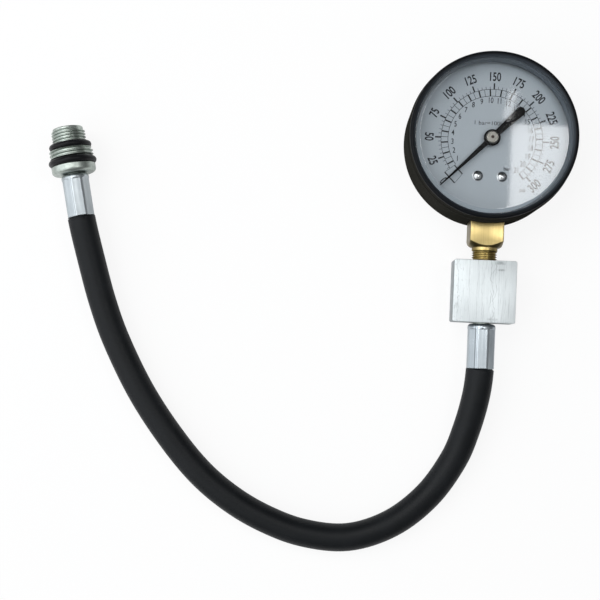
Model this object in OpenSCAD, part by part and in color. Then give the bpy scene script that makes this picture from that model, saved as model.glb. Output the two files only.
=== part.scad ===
// Compression tester: dial gauge, square stem, adapter block, hose and stepped plug end, lying flat.
// Millimetres. The origin is the centre of the case's back, +Z is the pointer's axis, the stem points to -Y.

/* [Case and window] */
// Outside diameter of the drawn steel case
case_d = 68.6; // [68:0.2:71]
// Height from the back of the case to the front of the bezel
case_depth = 31; // [30.5:0.5:33]
// Thickness of the case's sheet
case_sheet = 0.9; // [0.7:0.1:1.1]
// Radius of the rounded edge at the back of the case
back_edge_r = 2; // [1.5:0.5:3.5]
// Width of the bezel seen from the front
bezel_w = 2.7; // [2.5:0.1:3.1]
// Height of the bezel's lip over the lens
bezel_lip = 1.6; // [1.4:0.1:1.8]
// Thickness of the clear lens
lens_t = 2; // [1.5:0.1:2.4]
// Thickness of the rubber ring under the lens
gasket_t = 0.8; // [0.6:0.1:1]

/* [Dial and pointer] */
// Thickness of the dial
dial_t = 0.5; // [0.4:0.1:0.8]
// Height of the pointer over the dial
pointer_lift = 2.5; // [2.2:0.1:3]
// Length of the needle from the pointer's axis
needle_len = 28.6; // [26:0.2:29]
// Length of the tail from the pointer's axis
tail_len = 17.5; // [15:0.5:18]
// Diameter of the pointer's round eye
eye_d = 6.8; // [6.4:0.2:7.2]
// Diameter of the silver hub
hub_d = 5.3; // [5:0.1:5.8]
// Distance between the two dial screws
dial_screw_pitch = 9.8; // [9.4:0.2:10.4]
// Distance of the dial screws below the pointer's axis
dial_screw_drop = 15.4; // [15:0.1:15.8]

/* [Movement] */
// Module of the pinion and the sector gear
gear_module = 0.3; // [0.29:0.005:0.31]
// Thickness of each movement plate
plate_t = 1; // [0.8:0.1:1.2]
// Clear height between the movement plates
plate_gap = 5; // [4.6:0.1:6]
// Distance from the sector's pivot to its tail pin
tail_pin_r = 9; // [8.6:0.1:9.4]
// Distance between the link's two pins
link_len = 12; // [11.6:0.1:12.4]
// Diameter of the pointer's and the sector's arbors
arbor_d = 1.5; // [1.4:0.05:1.6]

/* [Bourdon tube] */
// Height of the flattened tube
tube_h = 8; // [7:0.2:8.6]
// Radial width of the flattened tube
tube_w = 3.2; // [3:0.1:3.5]
// Wall of the tube
tube_wall = 0.5; // [0.4:0.05:0.6]

/* [Stem] */
// Side of the square wrench shank
stem_side = 13.6; // [13.4:0.2:14.6]
// Length of the square shank outside the case
shank_len = 9.6; // [8:0.2:11]
// Height of the stem's axis over the back of the case
stem_h = 13; // [12.8:0.1:13.4]
// Outside diameter of the stem's thread
stem_thread_d = 10.2; // [9.8:0.1:10.4]
// Length of the stem's thread
stem_thread_len = 14; // [13:0.5:15]
// Thread left in sight between the shank and the block
thread_showing = 5.4; // [4.5:0.1:6]
// Bore of the stem
stem_bore_d = 3; // [2.6:0.1:3.4]

/* [Adapter block] */
// Width of the flat bar
block_w = 25.4; // [25:0.2:26]
// Thickness of the flat bar
block_t = 12.7; // [12.5:0.1:14]
// Length of the block along the stem
block_len = 25.4; // [24.6:0.2:27]
// Radius of the block's long edges
block_edge_r = 0.8; // [0.5:0.1:1.2]

/* [Hose] */
// Outside diameter of the hose
hose_d = 11.4; // [11.2:0.1:12]
// Bore of the hose
hose_bore_d = 6.2; // [6:0.1:6.4]
// Length of the crimped ferrule at the gauge
gauge_ferrule_len = 18.3; // [18:0.1:20]
// Length of the crimped ferrule at the plug end
plug_ferrule_len = 17.9; // [16.4:0.1:18.4]
// Wall of the ferrules
ferrule_wall = 0.6; // [0.5:0.05:0.7]

/* [Plug end] */
// Diameter of the small plug thread
thread14_d = 14; // [13.8:0.05:14]
// Length of the small plug thread
thread14_len = 6.4; // [6:0.2:8]
// Outside diameter of the small O-ring
small_ring_od = 17.5; // [17.2:0.1:17.8]
// Section of the small O-ring
small_ring_cord = 2.5; // [2.4:0.1:2.7]
// Diameter of the large plug thread
thread18_d = 18; // [17.9:0.05:18]
// Length of the large plug thread
thread18_len = 3.9; // [3.6:0.1:5]
// Outside diameter of the large O-ring
large_ring_od = 19.8; // [19.6:0.1:20.4]
// Section of the large O-ring
large_ring_cord = 2.8; // [2.7:0.1:3]
// Diameter of the collar behind the large O-ring
collar_d = 18.2; // [18:0.1:18.8]
// Length of the collar
collar_len = 3.7; // [3.4:0.1:4.2]

/* [Valve] */
// Diameter of the valve core's head
core_d = 5.2; // [5:0.1:5.3]
// Length of the valve core
core_len = 12; // [11:0.2:12.6]
// Travel of the valve pin
valve_travel = 1.2; // [1:0.1:1.3]

/* [Hidden] */
$fn = 64;

// Fits and gaps
press_gap = 0.02;     // between a pressed pin and its hole
run_gap = 0.05;       // between a turning pin and its hole
assembly_gap = 0.1;   // between parts that are slid together
air_gap = 0.3;        // between parts that don't touch
cut = 1;              // how far a cutting shape runs past a face

// Radii of the case, from the outside in
bezel_inset = 0.6;
bezel_wall = 0.85;
case_r = case_d / 2;
cup_r = case_r - case_sheet;
bezel_r = case_r - bezel_inset;
skirt_r = bezel_r - bezel_wall;
neck_r = skirt_r - run_gap;
inner_r = neck_r - case_sheet;
window_r = bezel_r - bezel_w;
lens_r = skirt_r - air_gap;
gasket_r = inner_r - 0.9;
spacer_r = inner_r - 2;
spacer_out_r = inner_r - air_gap;
dial_r = inner_r - air_gap;

// Heights of the case, from the front down
lens_top_z = case_depth - bezel_lip;
lens_z = lens_top_z - lens_t;
rim_z = lens_z - gasket_t;
neck_z = rim_z - 2.6;
spacer_drop = 3;
bead_r = 1.1;

// Heights of the pointer, the dial and the movement, from the lens down
hub_clear = 2.1;
hub_h = 1.8;
pointer_t = 0.5;
dial_gap = 2;
hub_z = lens_z - hub_clear - hub_h;
arbor_top_z = hub_z + hub_h / 2;
pointer_z = hub_z - pointer_t;
dial_top_z = pointer_z - pointer_lift;
dial_z = dial_top_z - dial_t;
plate_top_z = dial_z - dial_gap - plate_t;
plate_z = plate_top_z - plate_gap - plate_t;

// Heights inside the movement, from the top plate down to the sector
collet_clear = 0.4;
spring_h = 0.7;
spring_gap = 0.3;
link_t = 0.8;
link_gap = 0.2;
sector_t = 1;
spring_z = plate_top_z - collet_clear - spring_h;
link_z = spring_z - spring_gap - link_t;
sector_z = link_z - link_gap - sector_t;

// Case screws and the pressed dimples that hold their heads
dimple_h = 2.4;
dimple_d = 8.6;
dimple_depth = dimple_h - case_sheet;
case_screw_d = 2.4;
case_screw_head_d = 5.2;
case_screw_reach = 3.6;

// Gears of the movement
pinion_teeth = 12;
sector_teeth = 108;
pressure_angle = 25;
tooth_play = 0.03;
pointer_travel = 270;
sector_travel = pointer_travel * pinion_teeth / sector_teeth;
pivot_direction = -52;
centre_distance = gear_module * (pinion_teeth + sector_teeth) / 2;
sector_pivot = polar(centre_distance, pivot_direction);
sector_tooth_count = 13;
arbor_r = arbor_d / 2;
zero_direction = 225;

// Tail pin, link and tube tip at zero pressure
tail_direction = -10 - sector_travel / 2;
link_direction = 80;
tail_at = sector_pivot + polar(tail_pin_r, tail_direction);
tip_at = tail_at + polar(link_len, link_direction);
pin_r = 0.6;
link_r = 1.5;

// Bourdon tube
tip_clearance = 0.7;
tube_r = norm(tip_at) + link_r + tip_clearance + tube_w / 2;
tube_lift = 0.5;
tube_z = plate_z + tube_lift;
tube_tip_angle = -12;
tube_root_angle = 264;
end_piece_angle = 6;

// Pillars of the movement
pillar_r = 1.1;
back_pillar_r = 8;
front_pillar_r = 6;
back_pillar_at = polar(back_pillar_r, pivot_direction + 180);
front_pillar_at = sector_pivot + polar(front_pillar_r, -75);
band_r = 3.3;
pad_neck_w = 5;

// Hairspring, wound from its collet out to the back pillar
spring_t = 0.22;
collet_r = 1.8;
spring_turns = 4;
spring_steps = 24;
spring_outer_r = norm(back_pillar_at) - pillar_r - air_gap;

// Stations of the socket and the stem along -Y
stem_z = stem_h;
socket_front_y = -(dial_r + air_gap);
socket_step = 4.6;
socket_step_y = -(dial_screw_drop + socket_step);
socket_end_y = -(dial_screw_drop - 1.5 * socket_step);
socket_w = stem_side;
dial_clear = 1.5;
socket_top_z = dial_z - dial_clear;
screw_clear = 1.2;
case_screw_at = [socket_w / 3, -(tube_r - tube_w / 2 - screw_clear - case_screw_d / 2)];
post_r = 1.9;
post_thread_r = 1.2;
post_hole_len = 5;
post_stud_len = 4;
shank_end_y = -(case_r + shank_len);
stem_end_y = shank_end_y - stem_thread_len;
stem_thread_r = stem_thread_d / 2;

// Stations of the block and the hose along -Y
block_y = shank_end_y - thread_showing;
block_end_y = block_y - block_len;
nipple_thread_r = 4.85;
nipple_thread_len = 9;
nipple_bore_d = 3.2;
ferrule_y = block_end_y - 0.4;
gauge_mouth = [0, ferrule_y - gauge_ferrule_len, stem_z];

// Hose and ferrule radii
hose_sides = 12;
hose_r = hose_d / 2;
tail_r = hose_bore_d / 2 * cos(180 / hose_sides) - run_gap;
neck_ferrule_r = tail_r + 0.7;
ferrule_r = hose_r;
crimp_r = ferrule_r - ferrule_wall - 0.1;
ferrule_floor = 1.5;
crimp_sides = 8;
hose_z = hose_r + 0.1;

// Plug end: stations from its tip back along its axis
plug_lean = 12;
plug_direction = [-sin(plug_lean), cos(plug_lean), 0];
plug_z = large_ring_od / 2 + 0.05;
small_groove = small_ring_cord + 0.1;
large_groove = large_ring_cord + 0.1;
small_groove_s = thread14_len;
thread18_s = small_groove_s + small_groove;
large_groove_s = thread18_s + thread18_len;
collar_s = large_groove_s + large_groove;
plug_ferrule_s = collar_s + collar_len + 0.2;
plug_mouth_s = plug_ferrule_s + plug_ferrule_len;
plug_chamfer = 0.8;

// Route of the hose from the gauge's ferrule to the plug's: steps across the table, then the height
route_steps = [[-1.1, -11.5, 11.9], [-4, -24.8, 9], [-8.7, -38, 6.9], [-18.7, -53.2, 5.9],
               [-33.1, -65.3, 5.8], [-50.7, -71.8, 5.8], [-69.5, -70.9, 5.8], [-86.5, -65.4, 5.8],
               [-101.1, -57.5, 5.8], [-114.3, -47, 5.8], [-127.6, -32, 5.8], [-139.8, -14.9, 5.8],
               [-150.5, 4.7, 6], [-157, 20.5, 6.7], [-162.3, 37.5, 8.1]];
plug_mouth_step = [-167.2, 55.4];
steps_per_span = 3;
plug_mouth = [gauge_mouth[0] + plug_mouth_step[0], gauge_mouth[1] + plug_mouth_step[1], plug_z];
plug_tip = plug_mouth + plug_mouth_s * plug_direction;
gauge_hose_end = gauge_mouth + [0, gauge_ferrule_len - ferrule_floor - air_gap, 0];
plug_hose_end = plug_mouth + (plug_ferrule_len - ferrule_floor - air_gap) * plug_direction;

// Valve: stations from the plug's tip
pocket_r = core_d / 2 + assembly_gap;
core_s = 1.2;
core_head_len = 3;
core_barrel_r = core_d / 2 - 0.5;
core_bore_r = 1.35;
spring_room = 5.3;
guide_s = core_s + spring_room;
guide_len = 1.5;
pin_stem_r = 0.45;
pin_head_r = 1.2;
pin_head_s = 0.5;
pin_head_len = 0.6;
plunger_r = 1.9;
plunger_len = 1.3;
plunger_s = core_s + core_len + run_gap;
pocket_s = plunger_s + plunger_len + valve_travel + 1;
plug_bore_r = 1.6;
valve_coil_r = 0.95;
valve_wire_r = 0.18;
valve_turns = 6;
valve_coil_steps = 10;

// Point at radius r in direction a
function polar(r, a) = r * [cos(a), sin(a)];

// Half angle of a tooth at radius r, from its value on the pitch circle
function involute(a) = tan(a) * 180 / PI - a;
function roll_angle(r, base) = r > base ? acos(base / r) : 0;
function tooth_half(r, teeth) =
    let (pitch = teeth * gear_module / 2, base = pitch * cos(pressure_angle))
    90 / teeth - tooth_play / pitch * 180 / PI + involute(pressure_angle) - involute(roll_angle(r, base));

// Points of one tooth along +X, from its root to its tip and back
function tooth_radii(teeth) =
    let (pitch = teeth * gear_module / 2, base = pitch * cos(pressure_angle),
         root = root_r(teeth), tip = tip_r(teeth), foot = max(base, root))
    concat([root - 0.15], [for (i = [0 : 4]) foot + (tip - foot) * i / 4]);
function tip_r(teeth) = gear_module * (teeth / 2 + 0.85);
function root_r(teeth) = gear_module * (teeth / 2 - 1.2);
function tooth_points(teeth) =
    let (radii = tooth_radii(teeth), n = len(radii))
    concat([for (r = radii) polar(r, -tooth_half(r, teeth))],
           [for (i = [n - 1 : -1 : 0]) polar(radii[i], tooth_half(radii[i], teeth))]);

// Point on a smooth curve from b to c, with a before and d after them
function spline_point(a, b, c, d, t) =
    0.5 * (2 * b + (c - a) * t + (2 * a - 5 * b + 4 * c - d) * t * t + (3 * b - a - 3 * c + d) * t * t * t);

// Rings of points around a path, and the faces between rings laid one after another
function unit(v) = v / norm(v);
function path_way(path, i) = unit(path[min(i + 1, len(path) - 1)] - path[max(i - 1, 0)]);
function ring_points(path, radii, sides) =
    [for (i = [0 : len(path) - 1])
        let (side = unit(cross(path_way(path, i), [0, 0, 1])), up = cross(side, path_way(path, i)))
        for (k = [0 : sides - 1])
            path[i] + radii[i] * (cos(k * 360 / sides) * side + sin(k * 360 / sides) * up)];
function wall_faces(rings, sides, first) =
    [for (i = [0 : rings - 2], k = [0 : sides - 1])
        let (a = first + i * sides + k, b = first + i * sides + (k + 1) % sides)
        each [[a, b, b + sides], [a, b + sides, a + sides]]];
function band_faces(outer, inner, sides) =
    [for (k = [0 : sides - 1])
        let (m = (k + 1) % sides)
        each [[outer + k, inner + k, inner + m], [outer + k, inner + m, outer + m]]];
function turned(faces) = [for (f = faces) [f[2], f[1], f[0]]];

// Places children that are drawn along +Z so that +Z runs along -Y from station y
module along_stem(y) {
    translate([0, y, stem_z])
        rotate([90, 0, 0])
            children();
}

// Places children that are drawn from the plug's tip along +Z, back towards the hose
module along_plug() {
    translate(plug_tip)
        rotate([0, 0, plug_lean])
            rotate([90, 0, 0])
                children();
}

// Flat bar from point a to point b, with round eyes a little wider than its web
module bar_2d(a, b, r) {
    way = b - a;
    web = 0.9 * r;
    translate(a)
        rotate(atan2(way[1], way[0]))
            translate([0, -web])
                square([norm(way), 2 * web]);
    translate(a)
        circle(r);
    translate(b)
        circle(r);
}

// Flat outline with fully rounded ends, standing on its short side
module stadium_2d(w, h) {
    square([w, h - w], center = true);
    for (side = [-1, 1])
        translate([0, side * (h - w) / 2])
            circle(d = w);
}

module at_dial_screws() {
    for (side = [-1, 1])
        translate([side * dial_screw_pitch / 2, -dial_screw_drop, 0])
            children();
}

module at_case_screws() {
    for (side = [-1, 1])
        translate([side * case_screw_at[0], case_screw_at[1], 0])
            children();
}

module pin(at, z, r, h) {
    translate([at[0], at[1], z])
        cylinder(r = r, h = h);
}

// Drawn cup, with a stepped neck for the bezel, a square cutout for the stem and two screw dimples
module gauge_case() {
    color("#1c1c1a")
        difference() {
            union() {
                case_cup();
                at_case_screws()
                    cylinder(d = dimple_d, h = dimple_h);
            }
            at_case_screws() {
                translate([0, 0, -cut])
                    cylinder(d = dimple_d - 2 * case_sheet, h = dimple_depth + cut);
                cylinder(d = case_screw_d + 2 * assembly_gap, h = dimple_h + cut);
            }
            translate([-stem_side / 2 - assembly_gap, -case_r - cut, stem_z - stem_side / 2 - assembly_gap])
                cube([stem_side + 2 * assembly_gap, case_r / 2, stem_side + 2 * assembly_gap]);
        }
}

module case_cup() {
    inner_edge_r = back_edge_r - case_sheet;
    cup_h = neck_z - 2 * case_sheet;
    rotate_extrude()
        difference() {
            union() {
                square([case_r - back_edge_r, rim_z]);
                translate([0, back_edge_r])
                    square([neck_r, rim_z - back_edge_r]);
                translate([0, back_edge_r])
                    square([case_r, neck_z - back_edge_r]);
                translate([case_r - back_edge_r, back_edge_r])
                    circle(back_edge_r);
            }
            translate([0, case_sheet])
                square([cup_r - inner_edge_r, cup_h]);
            translate([0, case_sheet + inner_edge_r])
                square([cup_r, cup_h - inner_edge_r]);
            translate([cup_r - inner_edge_r, case_sheet + inner_edge_r])
                circle(inner_edge_r);
            translate([0, neck_z - 2 * case_sheet])
                square([inner_r, rim_z]);
        }
}

// Pushed-on ring: a rounded bead outside, a shallow groove, and a lip that slopes down to the lens
module bezel_ring() {
    groove_z = case_depth - 0.5;
    groove_r = bezel_r - 2 * bead_r;
    bead_z = case_depth - bead_r;
    skirt_z = neck_z + air_gap;
    color("#1a1a1b")
        difference() {
            union() {
                translate([0, 0, skirt_z])
                    cylinder(r = bezel_r, h = bead_z - skirt_z);
                rotate_extrude()
                    translate([bezel_r - bead_r, bead_z])
                        circle(bead_r);
                cylinder(r = bezel_r - bead_r, h = groove_z);
            }
            translate([0, 0, -cut])
                cylinder(r = skirt_r, h = lens_top_z + cut);
            cylinder(r = window_r, h = case_depth + cut);
            translate([0, 0, lens_top_z + 0.4])
                cylinder(r1 = window_r, r2 = groove_r, h = groove_z - lens_top_z - 0.4 + press_gap);
        }
}

module lens() {
    edge = 0.4;
    color("#cfd8dc", 0.35)
        translate([0, 0, lens_z])
            rotate_extrude()
                polygon([[0, 0], [lens_r, 0], [lens_r, lens_t - edge], [lens_r - edge, lens_t], [0, lens_t]]);
}

// Rubber ring under the lens, with a skirt that slopes in over the edge of the dial
module lens_gasket() {
    color("#202020")
        translate([0, 0, rim_z])
            rotate_extrude()
                polygon([[gasket_r, gasket_t], [lens_r, gasket_t], [lens_r, 0], [spacer_out_r, 0],
                         [spacer_out_r, -spacer_drop], [spacer_r, -spacer_drop]]);
}

module dial_plate() {
    color("#a9adb0")
        translate([0, 0, dial_z])
            difference() {
                cylinder(r = dial_r, h = dial_t);
                translate([0, 0, -cut])
                    cylinder(r = arbor_r + 2 * air_gap, h = dial_t + 2 * cut);
                at_dial_screws()
                    translate([0, 0, -cut])
                        cylinder(r = post_thread_r - run_gap, h = dial_t + 2 * cut);
            }
}

// Two screws with domed heads that hold the dial on its posts
module dial_screws() {
    head_r = 2.1;
    head_h = 1.3;
    shank_r = post_thread_r - 2 * run_gap;
    shank_len = 3;
    color("#d8dadc")
        at_dial_screws() {
            translate([0, 0, dial_top_z])
                intersection() {
                    cylinder(r = head_r, h = head_h);
                    translate([0, 0, head_h - 2.4])
                        sphere(2.4);
                }
            translate([0, 0, dial_top_z - shank_len])
                cylinder(r = shank_r, h = shank_len);
        }
}

// Two posts that clamp the movement to the socket and carry the dial
module dial_posts() {
    color("#c9a24a")
        at_dial_screws()
            difference() {
                union() {
                    translate([0, 0, plate_z + plate_t])
                        cylinder(r = post_r, h = dial_z - plate_z - plate_t);
                    translate([0, 0, plate_z - post_stud_len])
                        cylinder(r = post_thread_r, h = post_stud_len + plate_t);
                }
                translate([0, 0, dial_z - post_stud_len])
                    cylinder(r = post_thread_r - run_gap, h = post_stud_len + cut);
            }
}

// Stamped pointer: round eye, tapered needle, and a tail that widens to a rounded paddle
module pointer() {
    paddle_r = 1.9;
    color("#111111")
        translate([0, 0, pointer_z])
            rotate(zero_direction)
                linear_extrude(pointer_t)
                    difference() {
                        union() {
                            circle(d = eye_d);
                            polygon([[0, -1.15], [needle_len, -0.4], [needle_len, 0.4], [0, 1.15]]);
                            polygon([[0, -1.2], [0, 1.2], [paddle_r - tail_len, paddle_r],
                                     [paddle_r - tail_len, -paddle_r]]);
                            translate([paddle_r - tail_len, 0])
                                circle(paddle_r);
                        }
                        circle(arbor_r + 0.5 + press_gap);
                    }
}

// Turned hub: a bush through the pointer, pressed on the arbor, under a rounded silver cap
module pointer_hub() {
    hub_r = hub_d / 2;
    hub_edge = 0.7;
    bush_len = 0.6;
    color("#d5d7d9")
        rotate_extrude()
            difference() {
                union() {
                    translate([0, pointer_z - bush_len])
                        square([arbor_r + 0.5, pointer_t + bush_len]);
                    translate([0, hub_z])
                        square([hub_r, hub_h - hub_edge]);
                    translate([0, hub_z])
                        square([hub_r - hub_edge, hub_h]);
                    translate([hub_r - hub_edge, hub_z + hub_h - hub_edge])
                        circle(hub_edge);
                }
                translate([0, pointer_z - bush_len - cut])
                    square([arbor_r + press_gap, arbor_top_z - pointer_z + bush_len + cut + press_gap]);
                translate([0, hub_z + hub_h - 0.6])
                    square([0.5, cut]);
            }
}

// Pointer arbor with its pinion cut on it
module pinion_arbor() {
    pinion_half_gap = 180 / pinion_teeth;
    pinion_phase = pivot_direction + pinion_half_gap + pointer_travel / 2;
    pinion_z = sector_z - 0.5;
    color("#b8bcc0") {
        translate([0, 0, plate_z - 0.4])
            cylinder(r = arbor_r, h = arbor_top_z - plate_z + 0.4);
        translate([0, 0, pinion_z])
            linear_extrude(sector_t + 1)
                rotate(pinion_phase)
                    gear_2d(pinion_teeth, pinion_teeth);
    }
}

// Root disc with count teeth, spread evenly on both sides of +X
module gear_2d(teeth, count) {
    circle(root_r(teeth));
    for (i = [0 : count - 1])
        rotate((i - (count - 1) / 2) * 360 / teeth + (count == teeth ? 180 / teeth : 0))
            polygon(tooth_points(teeth));
}

module hairspring_collet() {
    color("#c9a24a")
        translate([0, 0, spring_z - 0.15])
            difference() {
                cylinder(r = collet_r, h = spring_h + 0.3);
                translate([0, 0, -cut])
                    cylinder(r = arbor_r + press_gap, h = spring_h + 2 * cut);
            }
}

// Flat spiral, from just off the collet to just off the back pillar
module hairspring() {
    count = spring_turns * spring_steps;
    inner = collet_r + 0.15;
    pitch = (spring_outer_r - spring_t - inner) / spring_turns;
    outer_direction = pivot_direction + 180;
    inside = [for (i = [0 : count])
        let (a = outer_direction + i * 360 / spring_steps)
        polar(inner + pitch * i / spring_steps, a)];
    outside = [for (i = [count : -1 : 0])
        let (a = outer_direction + i * 360 / spring_steps)
        polar(inner + spring_t + pitch * i / spring_steps, a)];
    color("#caa75a")
        translate([0, 0, spring_z])
            linear_extrude(spring_h)
                polygon(concat(inside, outside));
}

// Sector gear: toothed rim on an arm, a hub at its pivot and a tail for the link
module sector_gear() {
    mesh_direction = pivot_direction + 180 - sector_travel / 2;
    rim_half_angle = sector_tooth_count * 180 / sector_teeth;
    outer = root_r(sector_teeth);
    hub_r = 2.4;
    color("#c9a24a")
        translate([sector_pivot[0], sector_pivot[1], 0])
            difference() {
                union() {
                    translate([0, 0, sector_z])
                        linear_extrude(sector_t)
                            sector_2d(mesh_direction, rim_half_angle, outer);
                    translate([0, 0, plate_z + plate_t + run_gap])
                        cylinder(r = hub_r, h = plate_gap - 2 * run_gap);
                }
                translate([0, 0, plate_z])
                    cylinder(r = arbor_r + press_gap, h = plate_gap + 2 * plate_t);
                pin(tail_at - sector_pivot, sector_z - cut, pin_r + press_gap, sector_t + 2 * cut);
            }
}

module sector_2d(direction, half_angle, outer) {
    rim_w = 2.6;
    arm_half_w = 1.3;
    far = 2 * outer;
    rotate(direction) {
        intersection() {
            difference() {
                circle(outer);
                circle(outer - rim_w);
            }
            polygon([[0, 0], polar(far, -half_angle), polar(far, half_angle)]);
        }
        for (i = [0 : sector_tooth_count - 1])
            rotate((i - (sector_tooth_count - 1) / 2) * 360 / sector_teeth)
                polygon(tooth_points(sector_teeth));
        for (side = [-1, 1])
            rotate(side * (half_angle - 5))
                translate([0, -arm_half_w])
                    square([outer - 1, 2 * arm_half_w]);
    }
    bar_2d([0, 0], tail_at - sector_pivot, link_r);
}

module sector_arbor() {
    color("#b8bcc0")
        pin(sector_pivot, plate_z - 0.4, arbor_r, plate_gap + 2 * plate_t + 0.8);
}

module tail_pin() {
    color("#b8bcc0")
        pin(tail_at, sector_z - 0.2, pin_r, link_z + link_t + 0.3 - sector_z);
}

module link() {
    color("#c9a24a")
        translate([0, 0, link_z])
            linear_extrude(link_t)
                difference() {
                    bar_2d(tail_at, tip_at, link_r);
                    translate(tail_at)
                        circle(pin_r + run_gap);
                    translate(tip_at)
                        circle(pin_r + press_gap);
                }
}

module tip_pin() {
    color("#b8bcc0")
        pin(tip_at, sector_z - 0.2, pin_r, link_z + link_t + 0.3 - sector_z);
}

// Cap brazed on the tube's free end, with a lug that carries the link's pin
module tube_end_piece() {
    lug_reach = polar(tube_r, tube_tip_angle - end_piece_angle / 2);
    color("#bf9440")
        difference() {
            union() {
                rotate_extrude(angle = end_piece_angle, start = tube_tip_angle - end_piece_angle)
                    translate([tube_r, tube_z])
                        stadium_2d(tube_w + 0.6, tube_h + 0.6);
                translate([0, 0, sector_z])
                    linear_extrude(sector_t)
                        intersection() {
                            bar_2d(tip_at, lug_reach, link_r);
                            circle(tube_r);
                            rotate(tube_tip_angle - 90)
                                translate([0, -inner_r])
                                    square(2 * inner_r);
                        }
            }
            pin(tip_at, sector_z - cut, pin_r + press_gap, sector_t + 2 * cut);
        }
}

// Flattened C tube from the socket round to its free end
module bourdon_tube() {
    color("#b98d3c")
        rotate_extrude(angle = tube_root_angle - tube_tip_angle, start = tube_tip_angle)
            translate([tube_r, tube_z])
                difference() {
                    stadium_2d(tube_w, tube_h);
                    stadium_2d(tube_w - 2 * tube_wall, tube_h - 2 * tube_wall);
                }
}

// Outline that both movement plates share, from the back pillar to the front one
module plate_band_2d() {
    bar_2d(back_pillar_at, [0, 0], pillar_r + 1);
    bar_2d([0, 0], sector_pivot, band_r);
    bar_2d(sector_pivot, front_pillar_at, pillar_r + 1);
}

module plate_bores_2d() {
    circle(arbor_r + run_gap);
    translate(sector_pivot)
        circle(arbor_r + run_gap);
}

module movement_bottom_plate() {
    color("#c9a24a")
        translate([0, 0, plate_z])
            linear_extrude(plate_t)
                difference() {
                    union() {
                        plate_band_2d();
                        translate([-socket_w / 2, socket_step_y + air_gap])
                            square([socket_w, socket_end_y - socket_step_y - air_gap]);
                        translate([-pad_neck_w / 2, socket_end_y - cut])
                            square([pad_neck_w, cut - socket_end_y]);
                    }
                    plate_bores_2d();
                    at_dial_screws()
                        circle(post_thread_r + assembly_gap);
                }
}

module movement_top_plate() {
    color("#c9a24a")
        translate([0, 0, plate_top_z])
            linear_extrude(plate_t)
                difference() {
                    plate_band_2d();
                    plate_bores_2d();
                    at_dial_screws()
                        circle(post_r + air_gap);
                }
}

module movement_pillars() {
    color("#c9a24a")
        for (at = [back_pillar_at, front_pillar_at])
            pin(at, plate_z + plate_t, pillar_r, plate_gap);
}

// Brass socket: stepped block inside the case, square shank with a turned end, pipe thread, one bore
module stem_socket() {
    bore_r = stem_bore_d / 2;
    bore_top_y = -tube_r;
    color("#d7be7d")
        difference() {
            union() {
                translate([-socket_w / 2, socket_front_y, dimple_h])
                    cube([socket_w, socket_step_y - socket_front_y, socket_top_z - dimple_h]);
                translate([-socket_w / 2, socket_step_y - cut, dimple_h])
                    cube([socket_w, socket_end_y - socket_step_y + cut, plate_z - dimple_h]);
                square_shank();
                along_stem(shank_end_y + cut)
                    cylinder(r = stem_thread_r, h = stem_thread_len + cut);
            }
            along_stem(bore_top_y)
                cylinder(r = bore_r, h = bore_top_y - stem_end_y + cut);
            rotate_extrude(angle = 32, start = 240)
                translate([tube_r, tube_z])
                    stadium_2d(tube_w + 2 * press_gap, tube_h + 2 * press_gap);
            at_dial_screws()
                translate([0, 0, plate_z - post_hole_len])
                    cylinder(r = post_thread_r + press_gap, h = post_hole_len + cut);
            at_case_screws()
                translate([0, 0, dimple_h - cut])
                    cylinder(d = case_screw_d + 2 * press_gap, h = case_screw_reach + air_gap + cut);
        }
}

// Square bar whose outer end is turned to a cone down to the thread
module square_shank() {
    corner_r = stem_side * 0.72;
    cone_len = 2.7;
    shank = socket_front_y - shank_end_y;
    intersection() {
        translate([-stem_side / 2, shank_end_y, stem_z - stem_side / 2])
            cube([stem_side, shank, stem_side]);
        along_stem(socket_front_y)
            rotate_extrude()
                polygon([[0, -cut], [corner_r, -cut], [corner_r, shank - cone_len],
                         [stem_thread_r + 0.9, shank], [0, shank]]);
    }
}

// Two screws that hold the case's back to the socket, with slotted heads sunk in the dimples
module case_screws() {
    head_h = 1;
    slot_w = 0.7;
    color("#b0b3b5")
        at_case_screws()
            difference() {
                union() {
                    translate([0, 0, dimple_depth - head_h])
                        cylinder(d = case_screw_head_d, h = head_h);
                    translate([0, 0, dimple_depth])
                        cylinder(d = case_screw_d, h = dimple_h - dimple_depth + case_screw_reach);
                }
                translate([-case_screw_head_d, -slot_w / 2, dimple_depth - head_h - cut])
                    cube([2 * case_screw_head_d, slot_w, cut + 0.5]);
            }
}

// Flat bar, drilled through and counterbored from both ends for the stem and the hose nipple
module adapter_block() {
    flat_w = block_w - 2 * block_edge_r;
    flat_t = block_t - 2 * block_edge_r;
    stem_hole_len = stem_thread_len - thread_showing + air_gap;
    color("#dcdee0")
        along_stem(block_y)
            difference() {
                linear_extrude(block_len) {
                    square([block_w, flat_t], center = true);
                    square([flat_w, block_t], center = true);
                    for (x = [-1, 1], y = [-1, 1])
                        translate([x * flat_w / 2, y * flat_t / 2])
                            circle(block_edge_r);
                }
                translate([0, 0, -cut])
                    cylinder(r = stem_thread_r + press_gap, h = stem_hole_len + cut);
                translate([0, 0, block_len - nipple_thread_len - air_gap])
                    cylinder(r = nipple_thread_r + press_gap, h = nipple_thread_len + air_gap + cut);
                cylinder(d = stem_bore_d, h = block_len);
            }
}

// Barbed tail of a hose fitting, from station s over length len
module barbed_tail(s, tail_len) {
    barb = 0.35;
    barb_pitch = 2.8;
    barb_len = barb_pitch - 0.4;
    barbs = floor((tail_len - 1) / barb_pitch);
    translate([0, 0, s])
        rotate_extrude()
            union() {
                square([tail_r - barb, tail_len]);
                for (i = [0 : barbs - 1])
                    translate([0, 0.5 + i * barb_pitch])
                        polygon([[0, 0], [tail_r, 0], [tail_r - barb, barb_len], [0, barb_len]]);
            }
}

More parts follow.
